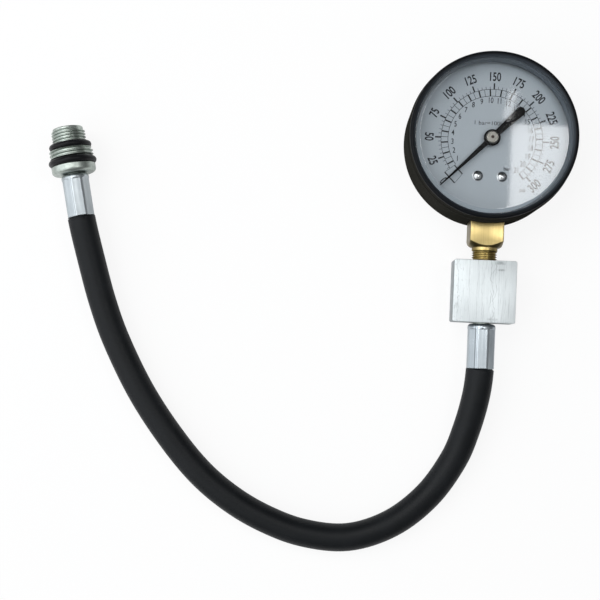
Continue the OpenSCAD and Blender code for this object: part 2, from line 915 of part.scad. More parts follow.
// Threaded nipple in the block, with its barbed tail in the hose
module hose_nipple() {
    neck_len = ferrule_floor + 0.6 + air_gap;
    color("#b9bdb4")
        along_stem(block_end_y)
            difference() {
                union() {
                    translate([0, 0, -nipple_thread_len])
                        cylinder(r = nipple_thread_r, h = nipple_thread_len);
                    cylinder(r = neck_ferrule_r, h = neck_len - 0.4);
                    barbed_tail(neck_len - 0.5, gauge_ferrule_len - neck_len);
                }
                translate([0, 0, -nipple_thread_len - cut])
                    cylinder(d = nipple_bore_d, h = nipple_thread_len + gauge_ferrule_len + 2 * cut);
            }
}

// Crimped aluminium sleeve: rounded shoulder with a hole, straight wall pressed to eight flats
module crimped_ferrule(sleeve_len) {
    shoulder = 1.5;
    crimp_from = 3.2;
    crimp_to = sleeve_len - 1.6;
    flat_r = ferrule_r - 0.2;
    corner_r = flat_r / cos(180 / crimp_sides);
    difference() {
        intersection() {
            rotate_extrude()
                union() {
                    square([ferrule_r - shoulder, sleeve_len]);
                    translate([0, shoulder])
                        square([ferrule_r, sleeve_len - shoulder]);
                    translate([ferrule_r - shoulder, shoulder])
                        circle(shoulder);
                }
            union() {
                cylinder(r = ferrule_r + cut, h = crimp_from);
                translate([0, 0, crimp_from])
                    cylinder(r = corner_r, h = crimp_to - crimp_from, $fn = crimp_sides);
                translate([0, 0, crimp_to])
                    cylinder(r = ferrule_r + cut, h = sleeve_len - crimp_to);
            }
        }
        translate([0, 0, -cut])
            cylinder(r = neck_ferrule_r + press_gap, h = ferrule_floor + 2 * cut);
        translate([0, 0, ferrule_floor])
            cylinder(r = ferrule_r - ferrule_wall, h = sleeve_len);
    }
}

module gauge_end_ferrule() {
    color("#d2d5d8")
        along_stem(ferrule_y)
            crimped_ferrule(gauge_ferrule_len);
}

module plug_end_ferrule() {
    color("#d2d5d8")
        along_plug()
            translate([0, 0, plug_ferrule_s])
                crimped_ferrule(plug_ferrule_len);
}

// Rubber hose along its route, squeezed where the ferrules hold it
module hose() {
    mouth_step = 0.4;
    lift = [for (p = route_steps) [gauge_mouth[0] + p[0], gauge_mouth[1] + p[1], max(p[2], hose_z)]];
    route = concat([gauge_mouth], lift, [plug_mouth]);
    last = len(route) - 1;
    lead_in = gauge_mouth + [0, norm(route[1] - route[0]), 0];
    lead_out = plug_mouth + norm(route[last] - route[last - 1]) * plug_direction;
    bends = [for (i = [0 : last - 1], k = [0 : steps_per_span - 1])
        if (i + k > 0)
            spline_point(i > 0 ? route[i - 1] : lead_in, route[i], route[i + 1],
                         i < last - 1 ? route[i + 2] : lead_out, k / steps_per_span)];
    gauge_step = [0, -mouth_step, 0];
    plug_step = -mouth_step * plug_direction;
    path = concat([gauge_hose_end, gauge_mouth, gauge_mouth + gauge_step, gauge_mouth + 2 * gauge_step],
                  bends, [plug_mouth + 2 * plug_step, plug_mouth + plug_step, plug_mouth, plug_hose_end]);
    rings = len(path);
    outer = [for (i = [0 : rings - 1]) i < 2 || i > rings - 3 ? crimp_r : hose_r];
    bore = [for (i = [0 : rings - 1]) hose_bore_d / 2];
    points = concat(ring_points(path, outer, hose_sides), ring_points(path, bore, hose_sides));
    inner_first = rings * hose_sides;
    far_ring = (rings - 1) * hose_sides;
    color("#161718")
        polyhedron(points, concat(wall_faces(rings, hose_sides, 0),
                                  turned(wall_faces(rings, hose_sides, inner_first)),
                                  band_faces(0, inner_first, hose_sides),
                                  turned(band_faces(far_ring, inner_first + far_ring, hose_sides))));
}

// Stepped plug: small thread, O-ring groove, large thread, O-ring groove, collar and barbed tail
module plug_fitting() {
    small_root = small_ring_od / 2 - small_ring_cord - run_gap;
    large_root = large_ring_od / 2 - large_ring_cord - run_gap;
    small_r = thread14_d / 2;
    collar_r = collar_d / 2;
    collar_edge = 1.6;
    collar_end = collar_s + collar_len;
    neck_len = plug_ferrule_s - collar_end + ferrule_floor + assembly_gap;
    color("#a9ada3")
        along_plug()
            difference() {
                union() {
                    rotate_extrude()
                        union() {
                            polygon([[0, 0], [small_r - plug_chamfer, 0], [small_r, plug_chamfer],
                                     [small_r, small_groove_s], [0, small_groove_s]]);
                            square([small_root, thread18_s]);
                            translate([0, thread18_s])
                                square([thread18_d / 2, thread18_len]);
                            translate([0, thread18_s])
                                square([large_root, collar_s - thread18_s]);
                            translate([0, collar_s])
                                square([collar_r, collar_len - collar_edge]);
                            translate([0, collar_s])
                                square([collar_r - collar_edge, collar_len]);
                            translate([collar_r - collar_edge, collar_end - collar_edge])
                                circle(collar_edge);
                            square([neck_ferrule_r, collar_end + neck_len]);
                        }
                    barbed_tail(collar_end + neck_len - 0.1, plug_ferrule_len - neck_len - 0.5);
                }
                translate([0, 0, -cut])
                    cylinder(r = pocket_r, h = pocket_s + cut);
                cylinder(r = plug_bore_r, h = plug_mouth_s);
            }
}

module o_ring(s, groove, od, cord) {
    color("#141516")
        along_plug()
            translate([0, 0, s + groove / 2])
                rotate_extrude()
                    translate([(od - cord) / 2, 0])
                        circle(d = cord);
}

module small_o_ring() {
    o_ring(small_groove_s, small_groove, small_ring_od, small_ring_cord);
}

module large_o_ring() {
    o_ring(large_groove_s, large_groove, large_ring_od, large_ring_cord);
}

// Valve core: threaded head, barrel, spring chamber and guide hole for the pin
module valve_core() {
    guide_r = pin_stem_r + run_gap;
    color("#c9a24a")
        along_plug()
            difference() {
                union() {
                    translate([0, 0, core_s])
                        cylinder(r = core_d / 2, h = core_head_len);
                    translate([0, 0, core_s])
                        cylinder(r = core_barrel_r, h = core_len);
                }
                translate([0, 0, core_s - cut])
                    cylinder(r = core_bore_r, h = guide_s - core_s + cut);
                translate([0, 0, guide_s - cut])
                    cylinder(r = guide_r, h = guide_len + 2 * cut);
                translate([0, 0, guide_s + guide_len])
                    cylinder(r = core_bore_r, h = core_len);
            }
}

module valve_seal() {
    color("#a03a2a")
        along_plug()
            translate([0, 0, core_s + core_head_len + assembly_gap])
                difference() {
                    cylinder(r = pocket_r - press_gap, h = 1.6);
                    translate([0, 0, -cut])
                        cylinder(r = core_barrel_r + press_gap, h = 1.6 + 2 * cut);
                }
}

// Coil between the pin's head and the floor of the spring chamber
module valve_spring() {
    count = valve_turns * valve_coil_steps;
    sides = 6;
    from_s = pin_head_s + pin_head_len + valve_wire_r + run_gap;
    rise = guide_s - run_gap - valve_wire_r - from_s;
    coil = [for (i = [0 : count])
        let (a = i * 360 / valve_coil_steps)
        [valve_coil_r * cos(a), valve_coil_r * sin(a), from_s + rise * i / count]];
    radii = [for (i = [0 : count]) valve_wire_r];
    color("#c0c4c8")
        along_plug()
            polyhedron(ring_points(coil, radii, sides),
                       concat(wall_faces(count + 1, sides, 0),
                              [[for (k = [sides - 1 : -1 : 0]) k]],
                              [[for (k = [0 : sides - 1]) count * sides + k]]));
}

// Pin with a head at the tip and a plunger that closes the core's inner end
module valve_pin() {
    color("#c4a45a")
        along_plug() {
            translate([0, 0, pin_head_s])
                cylinder(r = pin_head_r, h = pin_head_len);
            translate([0, 0, pin_head_s])
                cylinder(r = pin_stem_r, h = plunger_s - pin_head_s + plunger_len);
            translate([0, 0, plunger_s])
                cylinder(r = plunger_r, h = plunger_len);
        }
}

gauge_case();
bezel_ring();
lens();
lens_gasket();
dial_plate();
dial_screws();
dial_posts();
pointer();
pointer_hub();
pinion_arbor();
hairspring_collet();
hairspring();
sector_gear();
sector_arbor();
tail_pin();
link();
tip_pin();
tube_end_piece();
bourdon_tube();
movement_bottom_plate();
movement_top_plate();
movement_pillars();
stem_socket();
case_screws();
adapter_block();
hose_nipple();
gauge_end_ferrule();
hose();
plug_end_ferrule();
plug_fitting();
small_o_ring();
large_o_ring();
valve_core();
valve_seal();
valve_spring();
valve_pin();
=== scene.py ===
"""Looks of the compression tester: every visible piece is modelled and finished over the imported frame."""

from __future__ import annotations

import logging
import math
import sys
from dataclasses import dataclass
from enum import Enum
from typing import Any, Callable, Sequence

import bpy
from mathutils import Matrix, Vector


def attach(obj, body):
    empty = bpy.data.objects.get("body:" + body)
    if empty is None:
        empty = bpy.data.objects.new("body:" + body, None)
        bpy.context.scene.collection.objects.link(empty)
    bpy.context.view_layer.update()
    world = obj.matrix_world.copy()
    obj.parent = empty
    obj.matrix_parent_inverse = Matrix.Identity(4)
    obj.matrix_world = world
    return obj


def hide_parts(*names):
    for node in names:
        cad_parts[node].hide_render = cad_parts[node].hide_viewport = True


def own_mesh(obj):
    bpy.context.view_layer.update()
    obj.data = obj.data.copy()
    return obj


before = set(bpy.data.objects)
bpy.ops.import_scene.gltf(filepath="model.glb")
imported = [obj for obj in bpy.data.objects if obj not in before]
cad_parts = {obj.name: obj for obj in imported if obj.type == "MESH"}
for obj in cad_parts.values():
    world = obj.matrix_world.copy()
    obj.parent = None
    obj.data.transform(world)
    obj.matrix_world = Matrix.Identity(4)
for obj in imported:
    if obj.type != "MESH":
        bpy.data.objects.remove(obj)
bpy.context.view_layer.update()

LOG = logging.getLogger("tester")
MM = 0.001
Object = bpy.types.Object
Material = bpy.types.Material
Point = tuple[float, float]
Spot = tuple[float, float, float]
Colour = tuple[float, float, float]


class Body(Enum):
    """Bodies that pieces ride on."""

    TESTER = "tester"
    POINTER = "pointer"


class Slot(Enum):
    """Material slots of the record."""

    PAINT = "painted_black"
    LENS = "clear_lens"
    RUBBER = "black_rubber"
    DIAL = "dial_metal"
    SCREWS = "bright_screws"
    NEEDLE = "pointer_black"
    HUB = "hub_silver"
    STEEL = "bright_steel"
    STEM = "stem_brass"
    BLOCK = "block_aluminium"
    FERRULE = "ferrule_aluminium"
    PLATED = "plated_steel"


class Grain(Enum):
    """Directions that the marks on a metal run in, as the scale of the marks along X, Y and Z."""

    ALONG_Y = (1.0, 0.03, 1.0)
    ALONG_X = (0.03, 1.0, 1.0)
    SHORT_Y = (1.0, 0.35, 1.0)
    LENGTH_Y = (0.0, 1.0, 0.0)
    EVEN = (1.0, 1.0, 1.0)


class Sock:
    """One value in a material, with the sums that the finishes need."""

    def __init__(self, paint: Paint, socket: bpy.types.NodeSocket) -> None:
        """Keeps the node tree and the socket."""
        self.paint = paint
        self.socket = socket

    def maths(self, operation: str, first: Any, second: Any) -> Sock:
        """Adds one Math node and returns its result."""
        return self.paint.node("ShaderNodeMath", {"operation": operation}, {0: first, 1: second})

    def __add__(self, other: Any) -> Sock:
        """Sum."""
        return self.maths("ADD", self, other)

    __radd__ = __add__

    def __mul__(self, other: Any) -> Sock:
        """Product."""
        return self.maths("MULTIPLY", self, other)

    __rmul__ = __mul__

    def __sub__(self, other: Any) -> Sock:
        """Difference."""
        return self.maths("SUBTRACT", self, other)

    def __rsub__(self, other: Any) -> Sock:
        """Difference, the other way round."""
        return self.maths("SUBTRACT", other, self)

    def __gt__(self, other: Any) -> Sock:
        """One where the value is larger, else zero."""
        return self.maths("GREATER_THAN", self, other)

    def __or__(self, other: Any) -> Sock:
        """Larger of two values."""
        return self.maths("MAXIMUM", self, other)

    def __pow__(self, other: Any) -> Sock:
        """Power."""
        return self.maths("POWER", self, other)


class Paint:
    """Node tree of one material, or of the room's light."""

    def __init__(self, name: str, world: bpy.types.World | None = None) -> None:
        """Starts an empty tree.

        Args:
            name: Name of the new material.
            world: World to use instead of a new material.
        """
        self.material = world or bpy.data.materials.new(name)
        self.material.use_nodes = True
        self.tree = self.material.node_tree
        self.tree.nodes.clear()

    def node(self, kind: str, settings: dict[str, Any] | None = None, inputs: dict[Any, Any] | None = None,
             output: Any = 0) -> Sock:
        """Adds a node.

        Args:
            kind: Type name of the node.
            settings: Properties to set first; "stops" fills a colour ramp.
            inputs: Values or links by socket name or number.
            output: Name or number of the output to return.

        Returns:
            That output.
        """
        node = self.tree.nodes.new(kind)
        for key, value in (settings or {}).items():
            if key == "stops":
                self.stops(node.color_ramp, value)
            else:
                setattr(node, key, value)
        for key, value in (inputs or {}).items():
            if isinstance(value, Sock):
                self.tree.links.new(value.socket, node.inputs[key])
            else:
                node.inputs[key].default_value = self.fitted(node.inputs[key], value)
        return Sock(self, node.outputs[output] if len(node.outputs) else None)

    @staticmethod
    def fitted(socket: bpy.types.NodeSocket, value: Any) -> Any:
        """Gives a colour its fourth number where the socket has one."""
        colour = not isinstance(value, (int, float)) and len(value) == 3
        return (*value, 1.0) if colour and socket.type == "RGBA" else value

    @staticmethod
    def stops(ramp: bpy.types.ColorRamp, values: Sequence[Point]) -> None:
        """Fills a grey ramp.

        Args:
            ramp: The ramp.
            values: Place and value of each stop.
        """
        while len(ramp.elements) < len(values):
            ramp.elements.new(1.0)
        for element, (place, value) in zip(ramp.elements, values):
            element.position = place
            element.color = (value, value, value, 1.0)

    def coords(self) -> Sock:
        """Object coordinates."""
        return self.node("ShaderNodeTexCoord", output="Object")

    def mapped(self, spot: Sock, change: str, value: Spot) -> Sock:
        """Turns or stretches coordinates."""
        return self.node("ShaderNodeMapping", {"vector_type": "POINT"}, {"Vector": spot, change: value})

    def noise(self, scale: float, detail: float, grain: Grain = Grain.EVEN, turn: float = 0.0) -> Sock:
        """Adds a noise pattern.

        Args:
            scale: Marks per metre.
            detail: Finer levels added to it.
            grain: Direction that the marks are drawn out in.
            turn: Angle about Z that the pattern is turned by, in radians.

        Returns:
            Its value, about 0.5 on average.
        """
        spot = self.mapped(self.coords(), "Rotation", (0.0, 0.0, turn)) if turn else self.coords()
        place = self.mapped(spot, "Scale", grain.value)
        return self.node("ShaderNodeTexNoise", None,
                         {"Vector": place, "Scale": scale, "Detail": detail, "Roughness": 0.6})

    def ramp(self, value: Sock, *stops: Point) -> Sock:
        """Maps a value through a grey ramp with (place, value) stops."""
        return self.node("ShaderNodeValToRGB", {"stops": stops}, {"Fac": value})

    def patches(self, scale: float, detail: float, low: float, high: float, grain: Grain = Grain.EVEN,
                turn: float = 0.0) -> Sock:
        """Noise that goes from 0 to 1 between two of its levels."""
        return self.ramp(self.noise(scale, detail, grain, turn), (low, 0.0), (high, 1.0))

    def spread(self, value: Sock, low: float, high: float, start: float, end: float) -> Sock:
        """Maps a value from low to high onto start to end, and no further."""
        return self.node("ShaderNodeMapRange", None, {"Value": value, "From Min": low, "From Max": high,
                                                      "To Min": start, "To Max": end})

    def part(self, vector: Sock, name: str) -> Sock:
        """One coordinate of a vector."""
        return self.node("ShaderNodeSeparateXYZ", None, {0: vector}, name)

    def axis(self, name: str) -> Sock:
        """One of the object coordinates, in metres."""
        return self.part(self.coords(), name)

    def sides(self) -> Sock:
        """One on upright faces and zero on level ones: the mask for painted shade on upright walls."""
        level = self.part(self.node("ShaderNodeNewGeometry", output="Normal"), "Z")
        return self.spread(level * level, 0.15, 0.75, 1.0, 0.0)

    def apart(self, value: Sock, place: float) -> Sock:
        """Distance of a coordinate from a place in millimetres."""
        gap = value - place * MM
        return gap | 0.0 - gap

    @staticmethod
    def reach(first: Sock, second: Sock) -> Sock:
        """Length of two steps at right angles."""
        return (first * first + second * second) ** 0.5

    def blend(self, share: Sock | float, low: Any, high: Any) -> Sock:
        """Mixes two colours by share."""
        return self.node("ShaderNodeMix", {"data_type": "RGBA"}, {0: share, 6: low, 7: high}, 2)

    def mix(self, share: Sock, first: Sock, second: Sock) -> Sock:
        """Mixes two shaders by share."""
        return self.node("ShaderNodeMixShader", None, {0: share, 1: first, 2: second})

    def bump(self, height: Sock, strength: float, distance: float) -> Sock:
        """Turns a height pattern into a normal."""
        return self.node("ShaderNodeBump", None,
                         {"Strength": strength, "Distance": distance, "Height": height})

    def surface(self, inputs: dict[str, Any]) -> Material:
        """Closes the material with one Principled shader and returns it."""
        return self.output(self.node("ShaderNodeBsdfPrincipled", None, inputs))

    def output(self, shader: Sock) -> Material:
        """Links a shader to the material's output and returns the material."""
        self.node("ShaderNodeOutputMaterial", None, {"Surface": shader})
        return self.material


@dataclass(frozen=True)
class Finish:
    """What most finishes have: two tones that they wander between, and how rough they are."""

    name: str
    base: Colour
    other: Colour
    roughness: float


@dataclass(frozen=True)
class Paintwork(Finish):
    """Baked black paint with a fine orange peel and rubbed patches."""

    gloss: float

    def make(self) -> Material:
        """Builds the material.

        Returns:
            The material.
        """
        paint = Paint(self.name)
        rubbed = paint.patches(60.0, 4.0, 0.42, 0.75)
        return paint.surface({
            "Base Color": paint.blend(rubbed, self.base, self.other),
            "Roughness": rubbed * 0.08 + self.roughness,
            "Specular IOR Level": self.gloss,
            "Normal": paint.bump(paint.noise(2600.0, 2.0), 0.25, 0.00005),
        })


@dataclass(frozen=True)
class BezelPaint(Finish):
    """Black paint of the bezel: deep on the bead, lightened on the slope inside it as a painted reflection.
    """

    gloss: float
    inner: float
    outer: float

    def make(self) -> Material:
        """Builds the material.

        Returns:
            The material.
        """
        paint = Paint(self.name)
        radius = paint.reach(paint.axis("X"), paint.axis("Y"))
        # Painted reflection: inside the inner radius the lighter other tone stands in for light that the
        # slope reflects; the bead keeps the deep black.
        bead = paint.spread(radius, self.inner * MM, self.outer * MM, 0.0, 1.0)
        return paint.surface({
            "Base Color": paint.blend(bead, self.other, self.base),
            "Roughness": paint.noise(90.0, 4.0) * 0.1 + self.roughness,
            "Specular IOR Level": self.gloss,
            "Normal": paint.bump(paint.noise(2600.0, 2.0), 0.2, 0.00004),
        })


@dataclass(frozen=True)
class DrawnMetal(Finish):
    """Bare metal with draw marks along one direction, dull patches, die marks, and where set a painted shade
    on its upright faces and a darker end.
    """

    grain: Grain
    turn: float = 0.0
    side_shade: float = 0.0
    seams: tuple[float, ...] = ()
    middle: Point = (0.0, 0.0)
    deep_from: float | None = None
    deep: Colour = (0.25, 0.17, 0.02)

    def make(self) -> Material:
        """Builds the material.

        Returns:
            The material.
        """
        paint = Paint(self.name)
        lines = paint.noise(900.0, 4.0, self.grain, self.turn)
        patches = paint.patches(110.0, 5.0, 0.35, 0.7)
        dulled = paint.ramp(lines, (0.38, 1.0), (0.62, 0.0)) * 0.55 + patches * 0.35
        tone = paint.blend(dulled, self.base, self.other)
        # Painted shade: upright faces are darkened towards a dark copy of the other tone, by this share.
        if self.side_shade:
            tone = paint.blend(paint.sides() * self.side_shade, tone, [0.35 * c for c in self.other])
        x, y = paint.axis("X"), paint.axis("Y")
        # Darker tone from the neck along the thread, past deep_from.
        if self.deep_from is not None:
            share = paint.spread(y, (self.deep_from - 0.8) * MM, self.deep_from * MM, 0.5, 0.0)
            tone = paint.blend(share, tone, self.deep)
        along, beside = x - self.middle[0] * MM, y - self.middle[1] * MM
        across = along * math.cos(self.turn) - beside * math.sin(self.turn)
        for seam in self.seams:
            line = paint.spread(paint.apart(across, seam), 0.06 * MM, 0.2 * MM, 0.75, 0.0)
            tone = paint.blend(line, tone, [0.3 * c for c in self.other])
        return paint.surface({
            "Base Color": tone,
            "Metallic": 1.0,
            "Roughness": dulled * 0.16 + self.roughness,
            "Normal": paint.bump(lines, 0.12, 0.00008),
        })


@dataclass(frozen=True)
class ScratchedBar(Finish):
    """Pale drawn bar with brushed lines, thin wandering scratches, rubbed specks, a few smudges and painted
    shade on its upright walls.

    A scratch is its place across the bar, how far it wanders, its bends per metre and how dark it is.
    A smudge is its place across and along the bar, its width, its height and how dark it is.
    """

    dark: Colour
    upper_from: float = 15.0
    scratches: tuple[tuple[float, float, float, float], ...] = (
        (2.3, 5.0, 90.0, 0.6), (3.3, 9.0, 130.0, 0.6), (4.2, 5.0, 110.0, 0.5), (5.6, 2.5, 75.0, 0.35),
        (-3.1, 2.0, 60.0, 0.4), (-6.4, 2.6, 85.0, 0.3), (-10.9, 3.2, 140.0, 0.5), (8.2, 2.2, 100.0, 0.3),
        (-0.9, 3.6, 120.0, 0.3))
    smudges: tuple[tuple[float, float, float, float, float], ...] = (
        (5.9, -50.4, 4.0, 1.3, 0.75), (6.3, -53.2, 3.0, 0.8, 0.8), (3.4, -73.3, 4.4, 0.9, 0.55),
        (-11.2, -68.0, 1.6, 2.2, 0.4))

    @staticmethod
    def scratch(paint: Paint, place: float, sway: float, waves: float, strength: float) -> Sock:
        """Draws one thin line along Y that wanders and fades.

        Args:
            paint: The material's nodes.
            place: Where it runs, across the bar.
            sway: How far it wanders.
            waves: Bends per metre.
            strength: How dark it is.

        Returns:
            Its mask.
        """
        sideways = (paint.noise(waves, 3.0, Grain.LENGTH_Y) - 0.5) * (sway * MM)
        fade = paint.ramp(paint.noise(waves * 2.3, 3.0, Grain.LENGTH_Y), (0.4, 0.1), (0.56, 1.0))
        gap = paint.apart(paint.axis("X") - sideways, place)
        return paint.spread(gap, 0.03 * MM, 0.2 * MM, strength, 0.0) * fade

    def make(self) -> Material:
        """Builds the material.

        Returns:
            The material.
        """
        paint = Paint(self.name)
        x, y = paint.axis("X"), paint.axis("Y")
        upper = paint.axis("Z") > self.upper_from * MM
        drawn = paint.ramp(paint.noise(1500.0, 3.0, Grain.ALONG_Y), (0.36, 1.0), (0.56, 0.0))
        clouds = paint.patches(230.0, 5.0, 0.4, 0.66, Grain.SHORT_Y)
        fine = paint.patches(2600.0, 2.0, 0.60, 0.68, Grain.ALONG_Y, 0.02)
        grit = paint.noise(1700.0, 4.0, Grain.SHORT_Y)
        worn = paint.spread(x, -12.0 * MM, -6.0 * MM, 0.7, 0.12)
        marks = fine * 0.3 | paint.ramp(grit, (0.60, 0.0), (0.68, 1.0)) * worn
        for line in self.scratches:
            marks = marks | self.scratch(paint, *line)
        for left, low, width, height, strength in self.smudges:
            level = paint.spread(paint.apart(x, left), 0.25 * width * MM, 0.6 * width * MM, strength, 0.0)
            level = level * paint.spread(paint.apart(y, low), 0.2 * height * MM, 0.7 * height * MM, 1.0, 0.0)
            marks = marks | level * paint.ramp(grit, (0.38, 0.3), (0.58, 1.0)) * upper
        tone = paint.blend(drawn * 0.3 + clouds * 0.45, self.base, self.other)
        # Painted shade: upright walls are darkened to the dark tone, which the scratches and smudges also
        # use.
        tone = paint.blend(paint.sides(), tone, self.dark)
        return paint.surface({
            "Base Color": paint.blend(marks, tone, self.dark),
            "Metallic": 0.4,
            "Roughness": marks * 0.2 + self.roughness,
            "Normal": paint.bump(drawn, 0.1, 0.00006),
        })


@dataclass(frozen=True)
class Plating(Finish):
    """Plated or polished steel, slightly mottled, with a dark centre mark where it has one."""

    dot: float = 0.0

    def make(self) -> Material:
        """Builds the material.

        Returns:
            The material.
        """
        paint = Paint(self.name)
        mottle = paint.patches(500.0, 5.0, 0.35, 0.7)
        tone = paint.blend(mottle, self.base, self.other)
        if self.dot:
            radius = paint.reach(paint.axis("X"), paint.axis("Y"))
            mark = paint.spread(radius, 0.6 * self.dot * MM, self.dot * MM, 0.9, 0.0)
            tone = paint.blend(mark, tone, (0.035, 0.022, 0.018))
        return paint.surface({
            "Base Color": tone,
            "Metallic": 1.0,
            "Roughness": mottle * 0.1 + self.roughness,
            "Normal": paint.bump(paint.noise(2200.0, 2.0), 0.06, 0.00004),
        })


@dataclass(frozen=True)
class Rubber(Finish):
    """Rubber with a soft bloom and a fine moulded grain."""

    gloss: float = 0.2

    def make(self) -> Material:
        """Builds the material.

        Returns:
            The material.
        """
        paint = Paint(self.name)
        bloom = paint.patches(70.0, 6.0, 0.4, 0.72)
        return paint.surface({
            "Base Color": paint.blend(bloom, self.base, self.other),
            "Roughness": bloom * 0.1 + self.roughness,
            "Specular IOR Level": self.gloss,
            "Normal": paint.bump(paint.noise(1900.0, 3.0), 0.3, 0.00008),
        })


@dataclass(frozen=True)
class DialFace(Finish):
    """Silver dial: fine metallic paint over a flat plate."""

    def make(self) -> Material:
        """Builds the material.

        Returns:
            The material.
        """
        paint = Paint(self.name)
        flecks = paint.patches(5200.0, 2.0, 0.4, 0.65)
        share = flecks * 0.5 + paint.noise(45.0, 2.0) * 0.25
        return paint.surface({
            "Base Color": paint.blend(share, self.base, self.other),
            "Metallic": 0.35,
            "Roughness": flecks * 0.1 + self.roughness,
            "Normal": paint.bump(flecks, 0.08, 0.00002),
        })


@dataclass(frozen=True)
class Ink(Finish):
    """Printed ink, a little thin in places."""

    def make(self) -> Material:
        """Builds the material.

        Returns:
            The material.
        """
        paint = Paint(self.name)
        worn = paint.patches(1500.0, 3.0, 0.45, 0.8)
        tone = paint.blend(worn, self.base, self.other)
        return paint.surface({"Base Color": tone, "Roughness": worn * 0.1 + self.roughness})


@dataclass(frozen=True)
class ClearSheet:
    """Clear lens: see-through, with the gloss that its angle gives on one or both of its surfaces."""

    name: str
    tint: Colour
    roughness: float
    surfaces: float

    def make(self) -> Material:
        """Builds the material.

        Returns:
            The material.
        """
        paint = Paint(self.name)
        smear = paint.patches(38.0, 4.0, 0.45, 0.8)
        clear = paint.node("ShaderNodeBsdfTransparent", None, {"Color": self.tint})
        gloss = paint.node("ShaderNodeBsdfGlossy", None,
                           {"Color": (1.0, 1.0, 1.0), "Roughness": smear * 0.01 + self.roughness})
        facing = paint.node("ShaderNodeFresnel", None, {"IOR": 1.49})
        front = 1.0 - paint.node("ShaderNodeNewGeometry", output="Backfacing")
        return paint.output(paint.mix(facing * front * self.surfaces, clear, gloss))


@dataclass(frozen=True)
class StudioTable:
    """White table: plain white where it is seen, with a faint shadow under the object, and a painted shade to
    the right in the glow that reflections see.
    """

    name: str
    shade: float
    mirror: float

    def make(self) -> Material:
        """Builds the material.

        Returns:
            The material.
        """
        paint = Paint(self.name)
        speck = paint.noise(30.0, 2.0) * 0.02
        tone = paint.blend(speck, (0.97, 0.97, 0.97), (0.93, 0.93, 0.93))
        lit = paint.node("ShaderNodeBsdfDiffuse", None, {"Color": tone})
        camera, glossy, through = (paint.node("ShaderNodeLightPath", output=kind)
                                   for kind in ("Is Camera Ray", "Is Glossy Ray", "Is Transmission Ray"))
        # Painted shade: for rays other than the camera's, the glow darkens beyond x = 0.02 m, to the right of
        # the gauge.
        painted_shade_right = paint.spread(paint.axis("X"), 0.02, 0.11, 0.0, 1.0) * (1.0 - camera)
        sheen = paint.blend(painted_shade_right, (1.0, 1.0, 1.0), (0.10, 0.11, 0.12))
        white = paint.node("ShaderNodeEmission", None, {"Color": sheen, "Strength": 1.0})
        seen = (camera | glossy * self.mirror | through) * (1.0 - self.shade)
        return paint.output(paint.mix(seen, lit, white))


